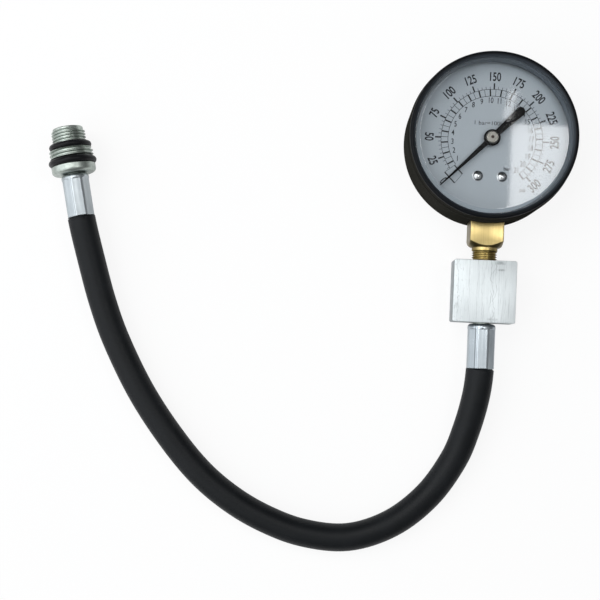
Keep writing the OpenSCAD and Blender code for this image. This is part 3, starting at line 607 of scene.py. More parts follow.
class Bench:
    """Modelling steps that the sub-assemblies share. Sizes are in millimetres."""

    @staticmethod
    def take(piece: Object) -> None:
        """Selects one piece alone and makes it active.

        Args:
            piece: The piece.
        """
        bpy.ops.object.select_all(action="DESELECT")
        piece.select_set(True)
        bpy.context.view_layer.objects.active = piece

    @staticmethod
    def settle(piece: Object) -> None:
        """Moves the object's place, turn and scale into its mesh."""
        Bench.take(piece)
        bpy.ops.object.transform_apply(location=True, rotation=True, scale=True)

    @staticmethod
    def named(name: str) -> Object:
        """Names the piece that an operator has just added, and puts its place into its mesh.

        Args:
            name: The name.

        Returns:
            The piece.
        """
        piece = bpy.context.object
        piece.name = piece.data.name = name
        Bench.settle(piece)
        return piece

    @staticmethod
    def edit(piece: Object, mode: str = "VERT") -> None:
        """Opens a piece in edit mode with everything selected.

        Args:
            piece: The piece.
            mode: Kind of parts that are selected.
        """
        Bench.take(piece)
        bpy.ops.object.mode_set(mode="EDIT")
        bpy.ops.mesh.select_mode(type=mode)
        bpy.ops.mesh.select_all(action="SELECT")

    @staticmethod
    def tidy() -> None:
        """Merges doubles, turns the faces outwards and leaves edit mode."""
        bpy.ops.mesh.select_all(action="SELECT")
        bpy.ops.mesh.remove_doubles(threshold=1e-7)
        bpy.ops.mesh.normals_make_consistent(inside=False)
        bpy.ops.object.mode_set(mode="OBJECT")

    @staticmethod
    def choose(piece: Object, mode: str, test: Callable[[Any], bool]) -> None:
        """Opens a piece in edit mode with only those edges or faces selected that pass a test.

        Args:
            piece: The piece.
            mode: EDGE or FACE.
            test: Takes an edge or a face.
        """
        Bench.edit(piece, mode)
        bpy.ops.mesh.select_all(action="DESELECT")
        bpy.ops.object.mode_set(mode="OBJECT")
        for part in piece.data.edges if mode == "EDGE" else piece.data.polygons:
            part.select = test(part)
        bpy.ops.object.mode_set(mode="EDIT")

    @staticmethod
    def bevelled(piece: Object, test: Callable[[Vector], bool], width: float, segments: int) -> None:
        """Rounds the edges that pass a test.

        Args:
            piece: The piece.
            test: Takes the step from one end of an edge to the other.
            width: Width of the round.
            segments: Faces across it.
        """
        spots = [v.co / MM for v in piece.data.vertices]
        Bench.choose(piece, "EDGE", lambda edge: test(spots[edge.vertices[1]] - spots[edge.vertices[0]]))
        bpy.ops.mesh.bevel(offset=width * MM, segments=segments, affect="EDGES")
        bpy.ops.object.mode_set(mode="OBJECT")

    @staticmethod
    def chain(name: str, points: Sequence[Spot], closed: bool) -> Object:
        """Draws a line of edges, by extruding one vertex from point to point.

        Args:
            name: Name of the piece.
            points: The points.
            closed: Whether the last point joins the first.

        Returns:
            The piece, still in edit mode and all selected.
        """
        bpy.ops.object.select_all(action="DESELECT")
        bpy.ops.mesh.primitive_plane_add(size=MM, location=[c * MM for c in points[0]])
        piece = Bench.named(name)
        Bench.edit(piece)
        bpy.ops.mesh.merge(type="CENTER")
        ends = list(points[1:]) + ([points[0]] if closed else [])
        for last, spot in zip(points, ends):
            move = [(b - a) * MM for a, b in zip(last, spot)]
            bpy.ops.mesh.extrude_vertices_move(TRANSFORM_OT_translate={"value": move})
        bpy.ops.mesh.select_all(action="SELECT")
        bpy.ops.mesh.remove_doubles(threshold=1e-7)
        return piece

    @staticmethod
    def turned(name: str, profile: Sequence[Point], steps: int = 96) -> Object:
        """Turns a closed profile about Z.

        Args:
            name: Name of the piece.
            profile: Radius and height of its corners.
            steps: Faces round the turn.

        Returns:
            The closed piece.
        """
        piece = Bench.chain(name, [(r, 0.0, z) for r, z in profile], True)
        bpy.ops.mesh.spin(steps=steps, angle=math.tau, center=(0, 0, 0), axis=(0, 0, 1))
        Bench.tidy()
        return piece

    @staticmethod
    def wound(piece: Object, pitch: float, turns: int, steps: int) -> None:
        """Winds a line that is open in edit mode about Z, and leaves it in edit mode all selected.

        Args:
            piece: The line.
            pitch: Rise of one turn.
            turns: Number of turns.
            steps: Faces round one turn.
        """
        bpy.ops.object.mode_set(mode="OBJECT")
        screw = piece.modifiers.new("Turns", "SCREW")
        screw.angle, screw.screw_offset, screw.iterations = math.tau, pitch * MM, turns
        screw.steps = screw.render_steps = steps
        bpy.ops.object.modifier_apply(modifier=screw.name)
        Bench.edit(piece)
        bpy.ops.mesh.remove_doubles(threshold=1e-6)

    @staticmethod
    def threaded(name: str, radius: float, pitch: float, length: float, lead: float) -> Object:
        """Cuts a screw thread along Z, from 0 to its length.

        Args:
            name: Name of the piece.
            radius: Outside radius.
            pitch: Pitch.
            length: Length.
            lead: Chamfer of the end at 0.

        Returns:
            The closed piece.
        """
        root = radius - 0.613 * pitch
        shape = [(root, 0.0), (root, 0.12), (radius, 0.44), (radius, 0.56), (root, 0.88), (root, 1.0)]
        piece = Bench.chain(name, [(r, 0.0, (z - 1.5) * pitch) for r, z in shape], False)
        Bench.wound(piece, pitch, math.ceil(length / pitch) + 3, 72)
        for height, side in ((0.0, -1), (length, 1)):
            bpy.ops.mesh.select_all(action="SELECT")
            bpy.ops.mesh.bisect(plane_co=(0, 0, height * MM), plane_no=(0, 0, side), use_fill=True,
                                clear_outer=True)
        Bench.tidy()
        for vertex in piece.data.vertices:
            reach, most = vertex.co.xy.length / MM, radius - lead + vertex.co.z / MM
            if reach > most:
                vertex.co.xy *= most / reach
        return piece

    @staticmethod
    def box(name: str, low: Sequence[float], high: Sequence[float]) -> Object:
        """Adds a box.

        Args:
            name: Name of the piece.
            low: Its lowest corner.
            high: Its highest corner.

        Returns:
            The box.
        """
        middle = [(a + b) / 2 * MM for a, b in zip(low, high)]
        sides = [(b - a) * MM for a, b in zip(low, high)]
        bpy.ops.object.select_all(action="DESELECT")
        bpy.ops.mesh.primitive_cube_add(size=1, location=middle, scale=sides)
        return Bench.named(name)

    @staticmethod
    def boolean(piece: Object, tool: Object, operation: str) -> None:
        """Cuts or joins a piece with a tool, which is used up.

        Args:
            piece: The piece.
            tool: The tool.
            operation: UNION, DIFFERENCE or INTERSECT.
        """
        Bench.take(piece)
        cut = piece.modifiers.new("Cut", "BOOLEAN")
        cut.operation, cut.object, cut.solver = operation, tool, "EXACT"
        bpy.ops.object.modifier_apply(modifier=cut.name)
        bpy.data.objects.remove(tool)

    @staticmethod
    def eased(piece: Object, width: float, angle: float = 35.0) -> None:
        """Rounds the sharp edges of a piece.

        Args:
            piece: The piece.
            width: Width of the round.
            angle: Edges sharper than this are rounded, in degrees.
        """
        Bench.take(piece)
        bevel = piece.modifiers.new("Ease", "BEVEL")
        bevel.width, bevel.segments, bevel.limit_method = width * MM, 2, "ANGLE"
        bevel.angle_limit = math.radians(angle)
        bevel.use_clamp_overlap = True
        bpy.ops.object.modifier_apply(modifier=bevel.name)

    @staticmethod
    def smooth(piece: Object, angle: float = 32.0) -> None:
        """Shades a piece smooth up to an angle."""
        Bench.take(piece)
        bpy.ops.object.shade_smooth_by_angle(angle=math.radians(angle))

    @staticmethod
    def joined(name: str, pieces: Sequence[Object]) -> Object:
        """Joins several meshes into one piece.

        Args:
            name: Name of the piece.
            pieces: The meshes.

        Returns:
            The piece.
        """
        Bench.take(pieces[0])
        for other in pieces:
            other.select_set(True)
        bpy.ops.object.join()
        piece = bpy.context.object
        piece.name = piece.data.name = name
        return piece

    @staticmethod
    def moved(piece: Object, x: float, y: float, z: float) -> Object:
        """Moves a piece's mesh and returns the piece."""
        piece.data.transform(Matrix.Translation((x * MM, y * MM, z * MM)))
        return piece

    @staticmethod
    def copied(piece: Object) -> Object:
        """Copies a piece with a mesh of its own.

        Args:
            piece: The piece.

        Returns:
            The copy.
        """
        twin = piece.copy()
        twin.data = piece.data.copy()
        bpy.context.collection.objects.link(twin)
        return twin

    @staticmethod
    def laid(piece: Object, start: Spot, lean: float = 0.0) -> None:
        """Lays a piece that was modelled along Z down along -Y.

        Args:
            piece: The piece.
            start: Where its origin goes.
            lean: Turn about Z afterwards, in degrees.
        """
        piece.location = [c * MM for c in start]
        piece.rotation_euler = (math.pi / 2, 0.0, math.radians(lean))
        Bench.settle(piece)

    @staticmethod
    def arc(centre: Point, radius: float, start: float, end: float, count: int) -> list[Point]:
        """Points on an arc, from one angle to another in degrees."""
        angles = (math.radians(start + (end - start) * i / count) for i in range(count + 1))
        return [(centre[0] + radius * math.cos(a), centre[1] + radius * math.sin(a)) for a in angles]


class Finishes:
    """Every material of the tester, made once."""

    def __init__(self) -> None:
        """Builds the materials."""
        lean = math.radians(-PlugEnd.lean)
        self.case = Paintwork("case_black", (0.022, 0.0215, 0.018), (0.030, 0.029, 0.025), 0.5, 0.0).make()
        # Bezel: the lighter second tone is a painted reflection on the slope inside the bead.
        self.bezel = BezelPaint("bezel_black", (0.004, 0.005, 0.0065), (0.045, 0.054, 0.064), 0.3, 0.08,
                                31.5, 32.4).make()
        # Spacer: its grey-blue tone is a painted reflection on the black rubber ring.
        self.spacer = Rubber("spacer_painted_reflection", (0.12, 0.14, 0.162), (0.142, 0.164, 0.186), 0.5).make()
        self.needle = Paintwork("needle_black", (0.004, 0.004, 0.0045), (0.007, 0.007, 0.0075),
                                0.4, 0.12).make()
        self.lens = ClearSheet("lens_clear", (0.99, 0.995, 0.995), 0.04, 1.9).make()
        self.lens_edge = ClearSheet("lens_edge", (0.76, 0.81, 0.84), 0.45, 1.0).make()
        self.dial = DialFace("dial_silver", (0.36, 0.40, 0.437), (0.43, 0.47, 0.507), 0.46).make()
        self.ink = Ink("dial_ink", (0.008, 0.008, 0.010), (0.02, 0.02, 0.023), 0.55).make()
        self.chrome = Plating("screw_chrome", (0.64, 0.65, 0.66), (0.54, 0.55, 0.56), 0.12).make()
        self.hub = Plating("hub_nickel", (0.30, 0.29, 0.265), (0.22, 0.212, 0.192), 0.34, dot=0.75).make()
        # Brass with painted shade on its upright faces and a darker thread end.
        self.brass = DrawnMetal("stem_brass", (0.63, 0.50, 0.23), (0.47, 0.36, 0.145), 0.27, Grain.ALONG_Y,
                                side_shade=0.9, deep_from=-44.4).make()
        # Block: the dark tone serves both its marks and the painted shade on its walls.
        self.block = ScratchedBar("block_drawn", (0.70, 0.745, 0.755), (0.57, 0.615, 0.625), 0.38,
                                  (0.22, 0.245, 0.255)).make()
        self.sleeve = DrawnMetal("sleeve_bright", (0.47, 0.515, 0.545), (0.355, 0.395, 0.425), 0.26,
                                 Grain.ALONG_Y, seams=(-2.2, -2.95)).make()
        self.far_sleeve = DrawnMetal("far_sleeve_bright", (0.47, 0.51, 0.53), (0.36, 0.395, 0.415), 0.28,
                                     Grain.ALONG_Y, lean, seams=(-1.1,), middle=PlugEnd.tip[:2]).make()
        self.zinc = Plating("zinc_plating", (0.47, 0.515, 0.475), (0.33, 0.37, 0.34), 0.32).make()
        self.hose = Rubber("hose_rubber", (0.004, 0.0052, 0.0064), (0.0075, 0.009, 0.0108), 0.46).make()
        self.rings = Rubber("ring_rubber", (0.005, 0.005, 0.006), (0.009, 0.009, 0.011), 0.34).make()
        self.movement = DrawnMetal("movement_plate", (0.72, 0.54, 0.24), (0.56, 0.40, 0.16), 0.34,
                                   Grain.ALONG_X).make()
        self.steel = Plating("arbor_steel", (0.56, 0.57, 0.58), (0.46, 0.47, 0.48), 0.22).make()
        self.table = StudioTable("table_white", 0.12, 0.3).make()


@dataclass
class Assembly:
    """What every sub-assembly shares."""

    finishes: Finishes

    def fit(self, piece: Object, finish: Material, slot: Slot, *nodes: str,
            body: Body = Body.TESTER) -> Object:
        """Dresses a piece, lets it ride and puts it in the place of its CAD nodes.

        Args:
            piece: The piece.
            finish: Its material.
            slot: The record's slot for it. Not used.
            nodes: CAD nodes that it stands for.
            body: Body that it rides on.

        Returns:
            The piece.
        """
        piece.data.materials.clear()
        piece.data.materials.append(finish)
        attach(piece, body.value)
        if nodes:
            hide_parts(*nodes)
        LOG.info("%s: %d faces on %s", piece.name, len(piece.data.polygons), body.value)
        return piece

    @staticmethod
    def second(piece: Object, finish: Material, test: Callable[[float, float], bool]) -> None:
        """Gives a second material to the faces that pass a test.

        Args:
            piece: The piece.
            finish: The material.
            test: Takes a face's distance from the Z axis and its height, in metres.
        """
        piece.data.materials.append(finish)
        for face in piece.data.polygons:
            face.material_index = int(test(face.center.xy.length, face.center.z))


@dataclass
class Hose(Assembly):
    """Rubber hose, a tube along the route that the CAD gives it."""

    radius: float = 5.7
    crimped: float = 5.0
    swell: float = 0.35
    bore: float = 3.1
    sides: int = 40
    steps: int = 8
    mouth: Spot = (0.0, -93.4, 13.0)
    far_mouth: Spot = (-167.2, -38.0, 9.95)
    lean: float = 12.0
    inside: float = 16.5
    far_inside: float = 16.1
    route: tuple[Spot, ...] = (
        (-1.1, -11.5, 11.9), (-4, -24.8, 9), (-8.7, -38, 6.9), (-18.7, -53.2, 5.9), (-33.1, -65.3, 5.8),
        (-50.7, -71.8, 5.8), (-69.5, -70.9, 5.8), (-86.5, -65.4, 5.8), (-101.1, -57.5, 5.8),
        (-114.3, -47, 5.8), (-127.6, -32, 5.8), (-139.8, -14.9, 5.8), (-150.5, 4.7, 6), (-157, 20.5, 6.7),
        (-162.3, 37.5, 8.1))

    def path(self) -> list[Vector]:
        """Centreline from one end in its ferrule to the other.

        Returns:
            Its points, in millimetres.
        """
        mouth, far, lean = Vector(self.mouth), Vector(self.far_mouth), math.radians(self.lean)
        out = Vector((-math.sin(lean), math.cos(lean), 0.0))
        spots = [mouth] + [Vector((mouth.x + x, mouth.y + y, z)) for x, y, z in self.route] + [far]
        before = mouth + Vector((0, (spots[1] - mouth).length, 0))
        ends = [before] + spots + [far + out * (far - spots[-2]).length]
        line = [mouth + Vector((0, self.inside, 0))]
        for a, b, c, d in zip(ends, ends[1:], ends[2:], ends[3:]):
            for k in range(self.steps):
                t = k / self.steps
                line.append(0.5 * (2 * b + (c - a) * t + (2 * a - 5 * b + 4 * c - d) * t ** 2
                                   + (3 * b - a - 3 * c + d) * t ** 3))
        line += [far, far + out * self.far_inside]
        line.insert(2, line[1] + (line[2] - line[1]).normalized() * self.swell)
        line.insert(-2, line[-2] + (line[-3] - line[-2]).normalized() * self.swell)
        return line

    def ring(self, line: Sequence[Vector], i: int, radius: float) -> list[Vector]:
        """Points of one ring round the path.

        Args:
            line: The path.
            i: Number of its point that the ring lies at.
            radius: Radius of the ring.

        Returns:
            The points, in metres.
        """
        way = (line[min(i + 1, len(line) - 1)] - line[max(i - 1, 0)]).normalized()
        side = way.cross(Vector((0, 0, 1))).normalized()
        top = side.cross(way)
        turns = (math.tau * k / self.sides for k in range(self.sides))
        return [(line[i] + radius * (math.cos(a) * side + math.sin(a) * top)) * MM for a in turns]

    def build(self, carried: Sequence[Object]) -> None:
        """Args:
            carried: Pieces on its far end. Not used.
        """
        line = self.path()
        count, sides = len(line), self.sides
        radii = [self.crimped] * 2 + [self.radius] * (count - 4) + [self.crimped] * 2
        rings = [self.ring(line, i, radii[i]) for i in range(count)]
        rings += [self.ring(line, i, self.bore) for i in reversed(range(count))]
        faces = []
        for i in range(2 * count):
            here, then = i * sides, (i + 1) % (2 * count) * sides
            faces += [(here + k, then + k, then + (k + 1) % sides, here + (k + 1) % sides)
                      for k in range(sides)]
        mesh = bpy.data.meshes.new("rubber_hose")
        mesh.from_pydata([p for ring in rings for p in ring], [], faces)
        piece = bpy.data.objects.new("rubber_hose", mesh)
        bpy.context.collection.objects.link(piece)
        Bench.edit(piece, "FACE")
        bpy.ops.mesh.normals_make_consistent(inside=False)
        bpy.ops.object.mode_set(mode="OBJECT")
        Bench.smooth(piece, 50.0)
        self.fit(piece, self.finishes.hose, Slot.RUBBER, "hose")
        length = sum((b - a).length for a, b in zip(line, line[1:])) * MM
        [p * MM for p in line]


@dataclass
class Ferrules(Assembly):
    """Aluminium sleeves, pressed to eight flats on the hose ends."""

    radius: float = 5.7
    bore: float = 5.1
    hole: float = 3.66
    shoulder: float = 1.5
    floor: float = 1.5
    lip: float = 0.2
    flats: int = 8
    flat: float = 5.42
    crimp_from: float = 2.4
    crimp_tail: float = 0.25
    flare: tuple[Point, ...] = ((1.03, 0.35), (1.05, 0.25))
    die_reach: float = 4.0
    near_length: float = 18.3
    far_length: float = 17.9
    near_turn: float = 22.5
    far_turn: float = 11.0
    near_start: Spot = (0.0, -75.1, 13.0)
    far_station: float = 19.7

    def die(self, length: float, turn: float) -> Object:
        """Models the inside of the die, which flares out at both ends of the flats.

        Args:
            length: Length of the sleeve.
            turn: Turn of its flats, in degrees.

        Returns:
            The die.
        """
        middle = (self.crimp_from + length - self.crimp_tail) / 2
        bpy.ops.object.select_all(action="DESELECT")
        bpy.ops.mesh.primitive_cylinder_add(
            vertices=self.flats, radius=self.flat / math.cos(math.pi / self.flats) * MM,
            depth=(length - self.crimp_from - self.crimp_tail) * MM, location=(0, 0, middle * MM))
        die = Bench.named("die")
        die.data.transform(Matrix.Rotation(math.radians(turn), 4, "Z"))
        for way in (-1, 1):
            Bench.choose(die, "FACE", lambda face: face.normal.z * way > 0.9)
            for grow, rise in (*self.flare, (1.0, self.die_reach)):
                bpy.ops.mesh.extrude_region_move(TRANSFORM_OT_translate={"value": (0, 0, way * rise * MM)})
                bpy.ops.transform.resize(value=(grow, grow, 1))
            bpy.ops.object.mode_set(mode="OBJECT")
        return die

    def sleeve(self, name: str, length: float, turn: float) -> Object:
        """Models one sleeve along Z, from its shoulder.

        Args:
            name: Name of the piece.
            length: Its length.
            turn: Turn of its flats, in degrees.

        Returns:
            The sleeve.
        """
        r = self.radius
        profile = [(self.hole, 0.0)]
        profile += Bench.arc((r - self.shoulder, self.shoulder), self.shoulder, -90, 0, 8)
        profile += Bench.arc((r - self.lip, length - self.lip), self.lip, 0, 90, 3)
        profile += [(self.bore, length), (self.bore, self.floor), (self.hole, self.floor)]
        piece = Bench.turned(name, profile, 128)
        Bench.boolean(piece, self.die(length, turn), "INTERSECT")
        Bench.smooth(piece, 12.0)
        return piece

    def build(self) -> Object:
        """Models both sleeves.

        Returns:
            The one at the plug end.
        """
        near = self.sleeve("gauge_sleeve", self.near_length, self.near_turn)
        Bench.laid(near, self.near_start)
        self.fit(near, self.finishes.sleeve, Slot.FERRULE, "gauge_end_ferrule")
        far = self.sleeve("plug_sleeve", self.far_length, self.far_turn)
        Bench.laid(Bench.moved(far, 0, 0, self.far_station), PlugEnd.tip, PlugEnd.lean)
        return self.fit(far, self.finishes.far_sleeve, Slot.FERRULE, "plug_end_ferrule")


@dataclass
class PlugEnd(Assembly):
    """Stepped steel plug with two threads, two O-rings and a rounded collar."""

    tip: Spot = (-175.017, -1.222, 9.95)
    lean: float = 12.0
    land: float = 0.9
    land_radius: float = 6.25
    land_edge: float = 0.5
    small: float = 7.0
    small_pitch: float = 1.25
    small_core: float = 6.2
    small_end: float = 6.4
    large: float = 9.0
    large_pitch: float = 1.5
    large_core: float = 8.05
    large_start: float = 9.0
    large_end: float = 12.9
    groove: float = 7.05
    collar_start: float = 15.8
    collar_end: float = 19.5
    collar: float = 9.1
    collar_edge: float = 1.6
    chamfer: float = 0.3
    neck: float = 3.64
    neck_end: float = 21.3
    tail: float = 2.9
    tail_end: float = 36.8
    bore: float = 1.6
    valve_bore: float = 2.7
    valve_floor: float = 16.75

    def body(self) -> Object:
        """Turns the plug's body, with its grooves, neck, tail and bore.

        Returns:
            The body along Z, from its tip.
        """
        edge, ease, chamfer = self.collar_edge, self.land_edge, self.chamfer
        profile = [(self.valve_bore, chamfer), (self.valve_bore + chamfer, 0.0)]
        profile += Bench.arc((self.land_radius - ease, ease), ease, -90, 0, 5)
        profile += [(self.land_radius, self.small_end), (self.small_core, self.small_end),
                    (self.small_core, self.large_start), (self.large_core, self.large_start),
                    (self.large_core, self.large_end), (self.groove, self.large_end),
                    (self.groove, self.collar_start), (self.collar - chamfer, self.collar_start),
                    (self.collar, self.collar_start + chamfer)]
        profile += Bench.arc((self.collar - edge, self.collar_end - edge), edge, 0, 90, 8)
        profile += [(self.neck, self.collar_end), (self.neck, self.neck_end), (self.tail, self.neck_end),
                    (self.tail, self.tail_end), (self.bore, self.tail_end), (self.bore, self.valve_floor),
                    (self.valve_bore, self.valve_floor)]
        return Bench.turned("plug_body", profile, 128)

    def ring(self, name: str, station: float, across: float, cord: float) -> Object:
        """Turns one O-ring with the fine line that its mould leaves.

        Args:
            name: Name of the piece.
            station: Distance of its middle from the plug's tip.
            across: Outside diameter.
            cord: Diameter of its section.

        Returns:
            The ring, in place.
        """
        r, middle, line = cord / 2, (across - cord) / 2, (across + 0.04) / 2
        outline = Bench.arc((middle, station), r, 4, 356, 30)
        outline += [(line, station - 0.03), (line, station + 0.03)]
        piece = Bench.turned(name, outline, 128)
        Bench.smooth(piece, 40.0)
        Bench.laid(piece, self.tip, self.lean)
        return piece

    def build(self) -> list[Object]:
        """Models the plug and its rings.

        Returns:
            The pieces.
        """
        small = Bench.threaded("thread_small", self.small, self.small_pitch, self.small_end - self.land, 0.75)
        large = Bench.threaded("thread_large", self.large, self.large_pitch,
                               self.large_end - self.large_start, 0.5)
        plug = Bench.joined("stepped_plug", [self.body(), Bench.moved(small, 0, 0, self.land),
                                             Bench.moved(large, 0, 0, self.large_start)])
        Bench.smooth(plug, 28.0)
        Bench.laid(plug, self.tip, self.lean)
        self.fit(plug, self.finishes.zinc, Slot.PLATED, "plug_fitting")
        low = self.ring("ring_small", 7.7, 17.5, 2.5)
        high = self.ring("ring_large", 14.35, 19.8, 2.8)
        self.fit(low, self.finishes.rings, Slot.RUBBER, "small_o_ring")
        self.fit(high, self.finishes.rings, Slot.RUBBER, "large_o_ring")
        return [plug, low, high]


@dataclass
class ValveSpring(Assembly):
    """Coil behind the valve pin's head, which shortens as the pin is pushed in."""

    coil: float = 0.95
    wire: float = 0.18
    turns: int = 6
    start: float = 1.33
    end: float = 6.27
    pushed: float = 0.77

    def build(self) -> Object:
        """Winds the coil and closes its ends.

        Returns:
            The coil.
        """
        outline = Bench.arc((self.coil, 0.0), self.wire, 0, 324, 9)
        piece = Bench.chain("valve_coil", [(x, 0.0, z) for x, z in outline], True)
        Bench.wound(piece, (self.end - self.start) / self.turns, self.turns, 24)
        bpy.ops.mesh.fill_holes(sides=0)
        Bench.tidy()
        Bench.smooth(piece, 40.0)
        Bench.laid(Bench.moved(piece, 0, 0, self.start), PlugEnd.tip, PlugEnd.lean)
        self.fit(piece, self.finishes.steel, Slot.STEEL, "valve_spring")
        lean = math.radians(PlugEnd.lean)
        way = Vector((math.sin(lean), -math.cos(lean), 0.0))
        floor = (Vector(PlugEnd.tip) + way * (self.end + self.wire)) * MM
        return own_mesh(piece)


@dataclass
class StemAndBlock(Assembly):
    """Brass stem with its square shank and thread, and the drawn aluminium block."""

    side: float = 13.6
    axis_z: float = 13.0
    shank_start: float = -31.9
    shank_end: float = -43.9
    corner: float = 9.79
    cone_end: float = 6.0
    cone_rise: float = 2.7
    neck: float = 5.25
    neck_foot: float = 5.0
    thread: float = 5.1
    pitch: float = 0.94
    thread_length: float = 12.6
    thread_reach: float = 14.0
    block: float = 25.4
    thickness: float = 12.7
    block_start: float = -49.3
    block_end: float = -74.7
    block_corner: float = 0.8
    block_edge: float = 0.22
    nipple_hole: float = 4.87
    through: float = 1.5

    def shank(self, half: float, length: float) -> Object:
        """Models the square shank, with its corners turned down to a cone at the neck.

        Args:
            half: Half its side.
            length: Its length.

        Returns:
            The shank along Z.
        """
        piece = Bench.box("shank", (-half, -half, 0), (half, half, length))
        Bench.bevelled(piece, lambda step: abs(step.z) > 5, 0.35, 3)
        cone = [(0, -1), (self.corner, -1), (self.corner, length - self.cone_rise), (self.cone_end, length),
                (0, length)]
        Bench.boolean(piece, Bench.turned("cone", cone, 128), "INTERSECT")
        Bench.eased(piece, 0.12, 20.0)
        return piece

    def stem(self) -> Object:
        """Models the stem: shank, neck, pipe thread and the stepped block inside the case.

        Returns:
            The stem, in place.
        """
        half, length = self.side / 2, self.shank_start - self.shank_end
        shank = self.shank(half, length)
        neck = Bench.turned("neck", [(0, length - 0.5), (self.neck, length - 0.5), (self.neck, length + 1.3),
                                     (self.neck_foot, length + 1.6), (0, length + 1.6)])
        thread = Bench.threaded("pipe_thread", self.thread, self.pitch, self.thread_length, 0.5)
        thread.data.transform(Matrix.Rotation(math.pi, 4, "X"))
        Bench.moved(thread, 0, 0, length + self.thread_reach)
        step = Bench.box("step", (-half, -10.6, -11.9), (half, 5.5, 0))
        foot = Bench.box("foot", (-half, -10.6, -23.4), (half, -2.0, -11.4))
        for inner in (step, foot):
            Bench.eased(inner, 0.3)
        piece = Bench.joined("brass_stem", [shank, neck, thread, step, foot])
        Bench.smooth(piece, 24.0)
        Bench.laid(piece, (0.0, self.shank_start, self.axis_z))
        return piece

    def bar(self) -> Object:
        """Models the block: rounded upright corners, eased edges, and two plain holes with a bore between.

        Returns:
            The block, in place.
        """
        half, thick, length = self.block / 2, self.thickness / 2, self.block_start - self.block_end
        piece = Bench.box("aluminium_block", (-half, -thick, 0), (half, thick, length))
        Bench.bevelled(piece, lambda step: abs(step.y) > 5, self.block_corner, 4)
        Bench.bevelled(piece, lambda step: abs(step.y) < 0.01, self.block_edge, 2)
        stem_hole, far = self.thread + 0.02, length - 9.3
        hole = [(0, -1), (5.6, -1), (5.6, 0), (stem_hole, 0.5), (stem_hole, 8.9), (self.through, 8.9),
                (self.through, far), (self.nipple_hole, far), (self.nipple_hole, length - 0.4), (5.3, length),
                (5.3, length + 1), (0, length + 1)]
        Bench.boolean(piece, Bench.turned("hole", hole), "DIFFERENCE")
        Bench.smooth(piece, 28.0)
        Bench.laid(piece, (0.0, self.block_start, self.axis_z))
        return piece

    def build(self) -> None:
        """Models the stem and the block."""
        self.fit(self.stem(), self.finishes.brass, Slot.STEM, "stem_socket")
        self.fit(self.bar(), self.finishes.block, Slot.BLOCK, "adapter_block")


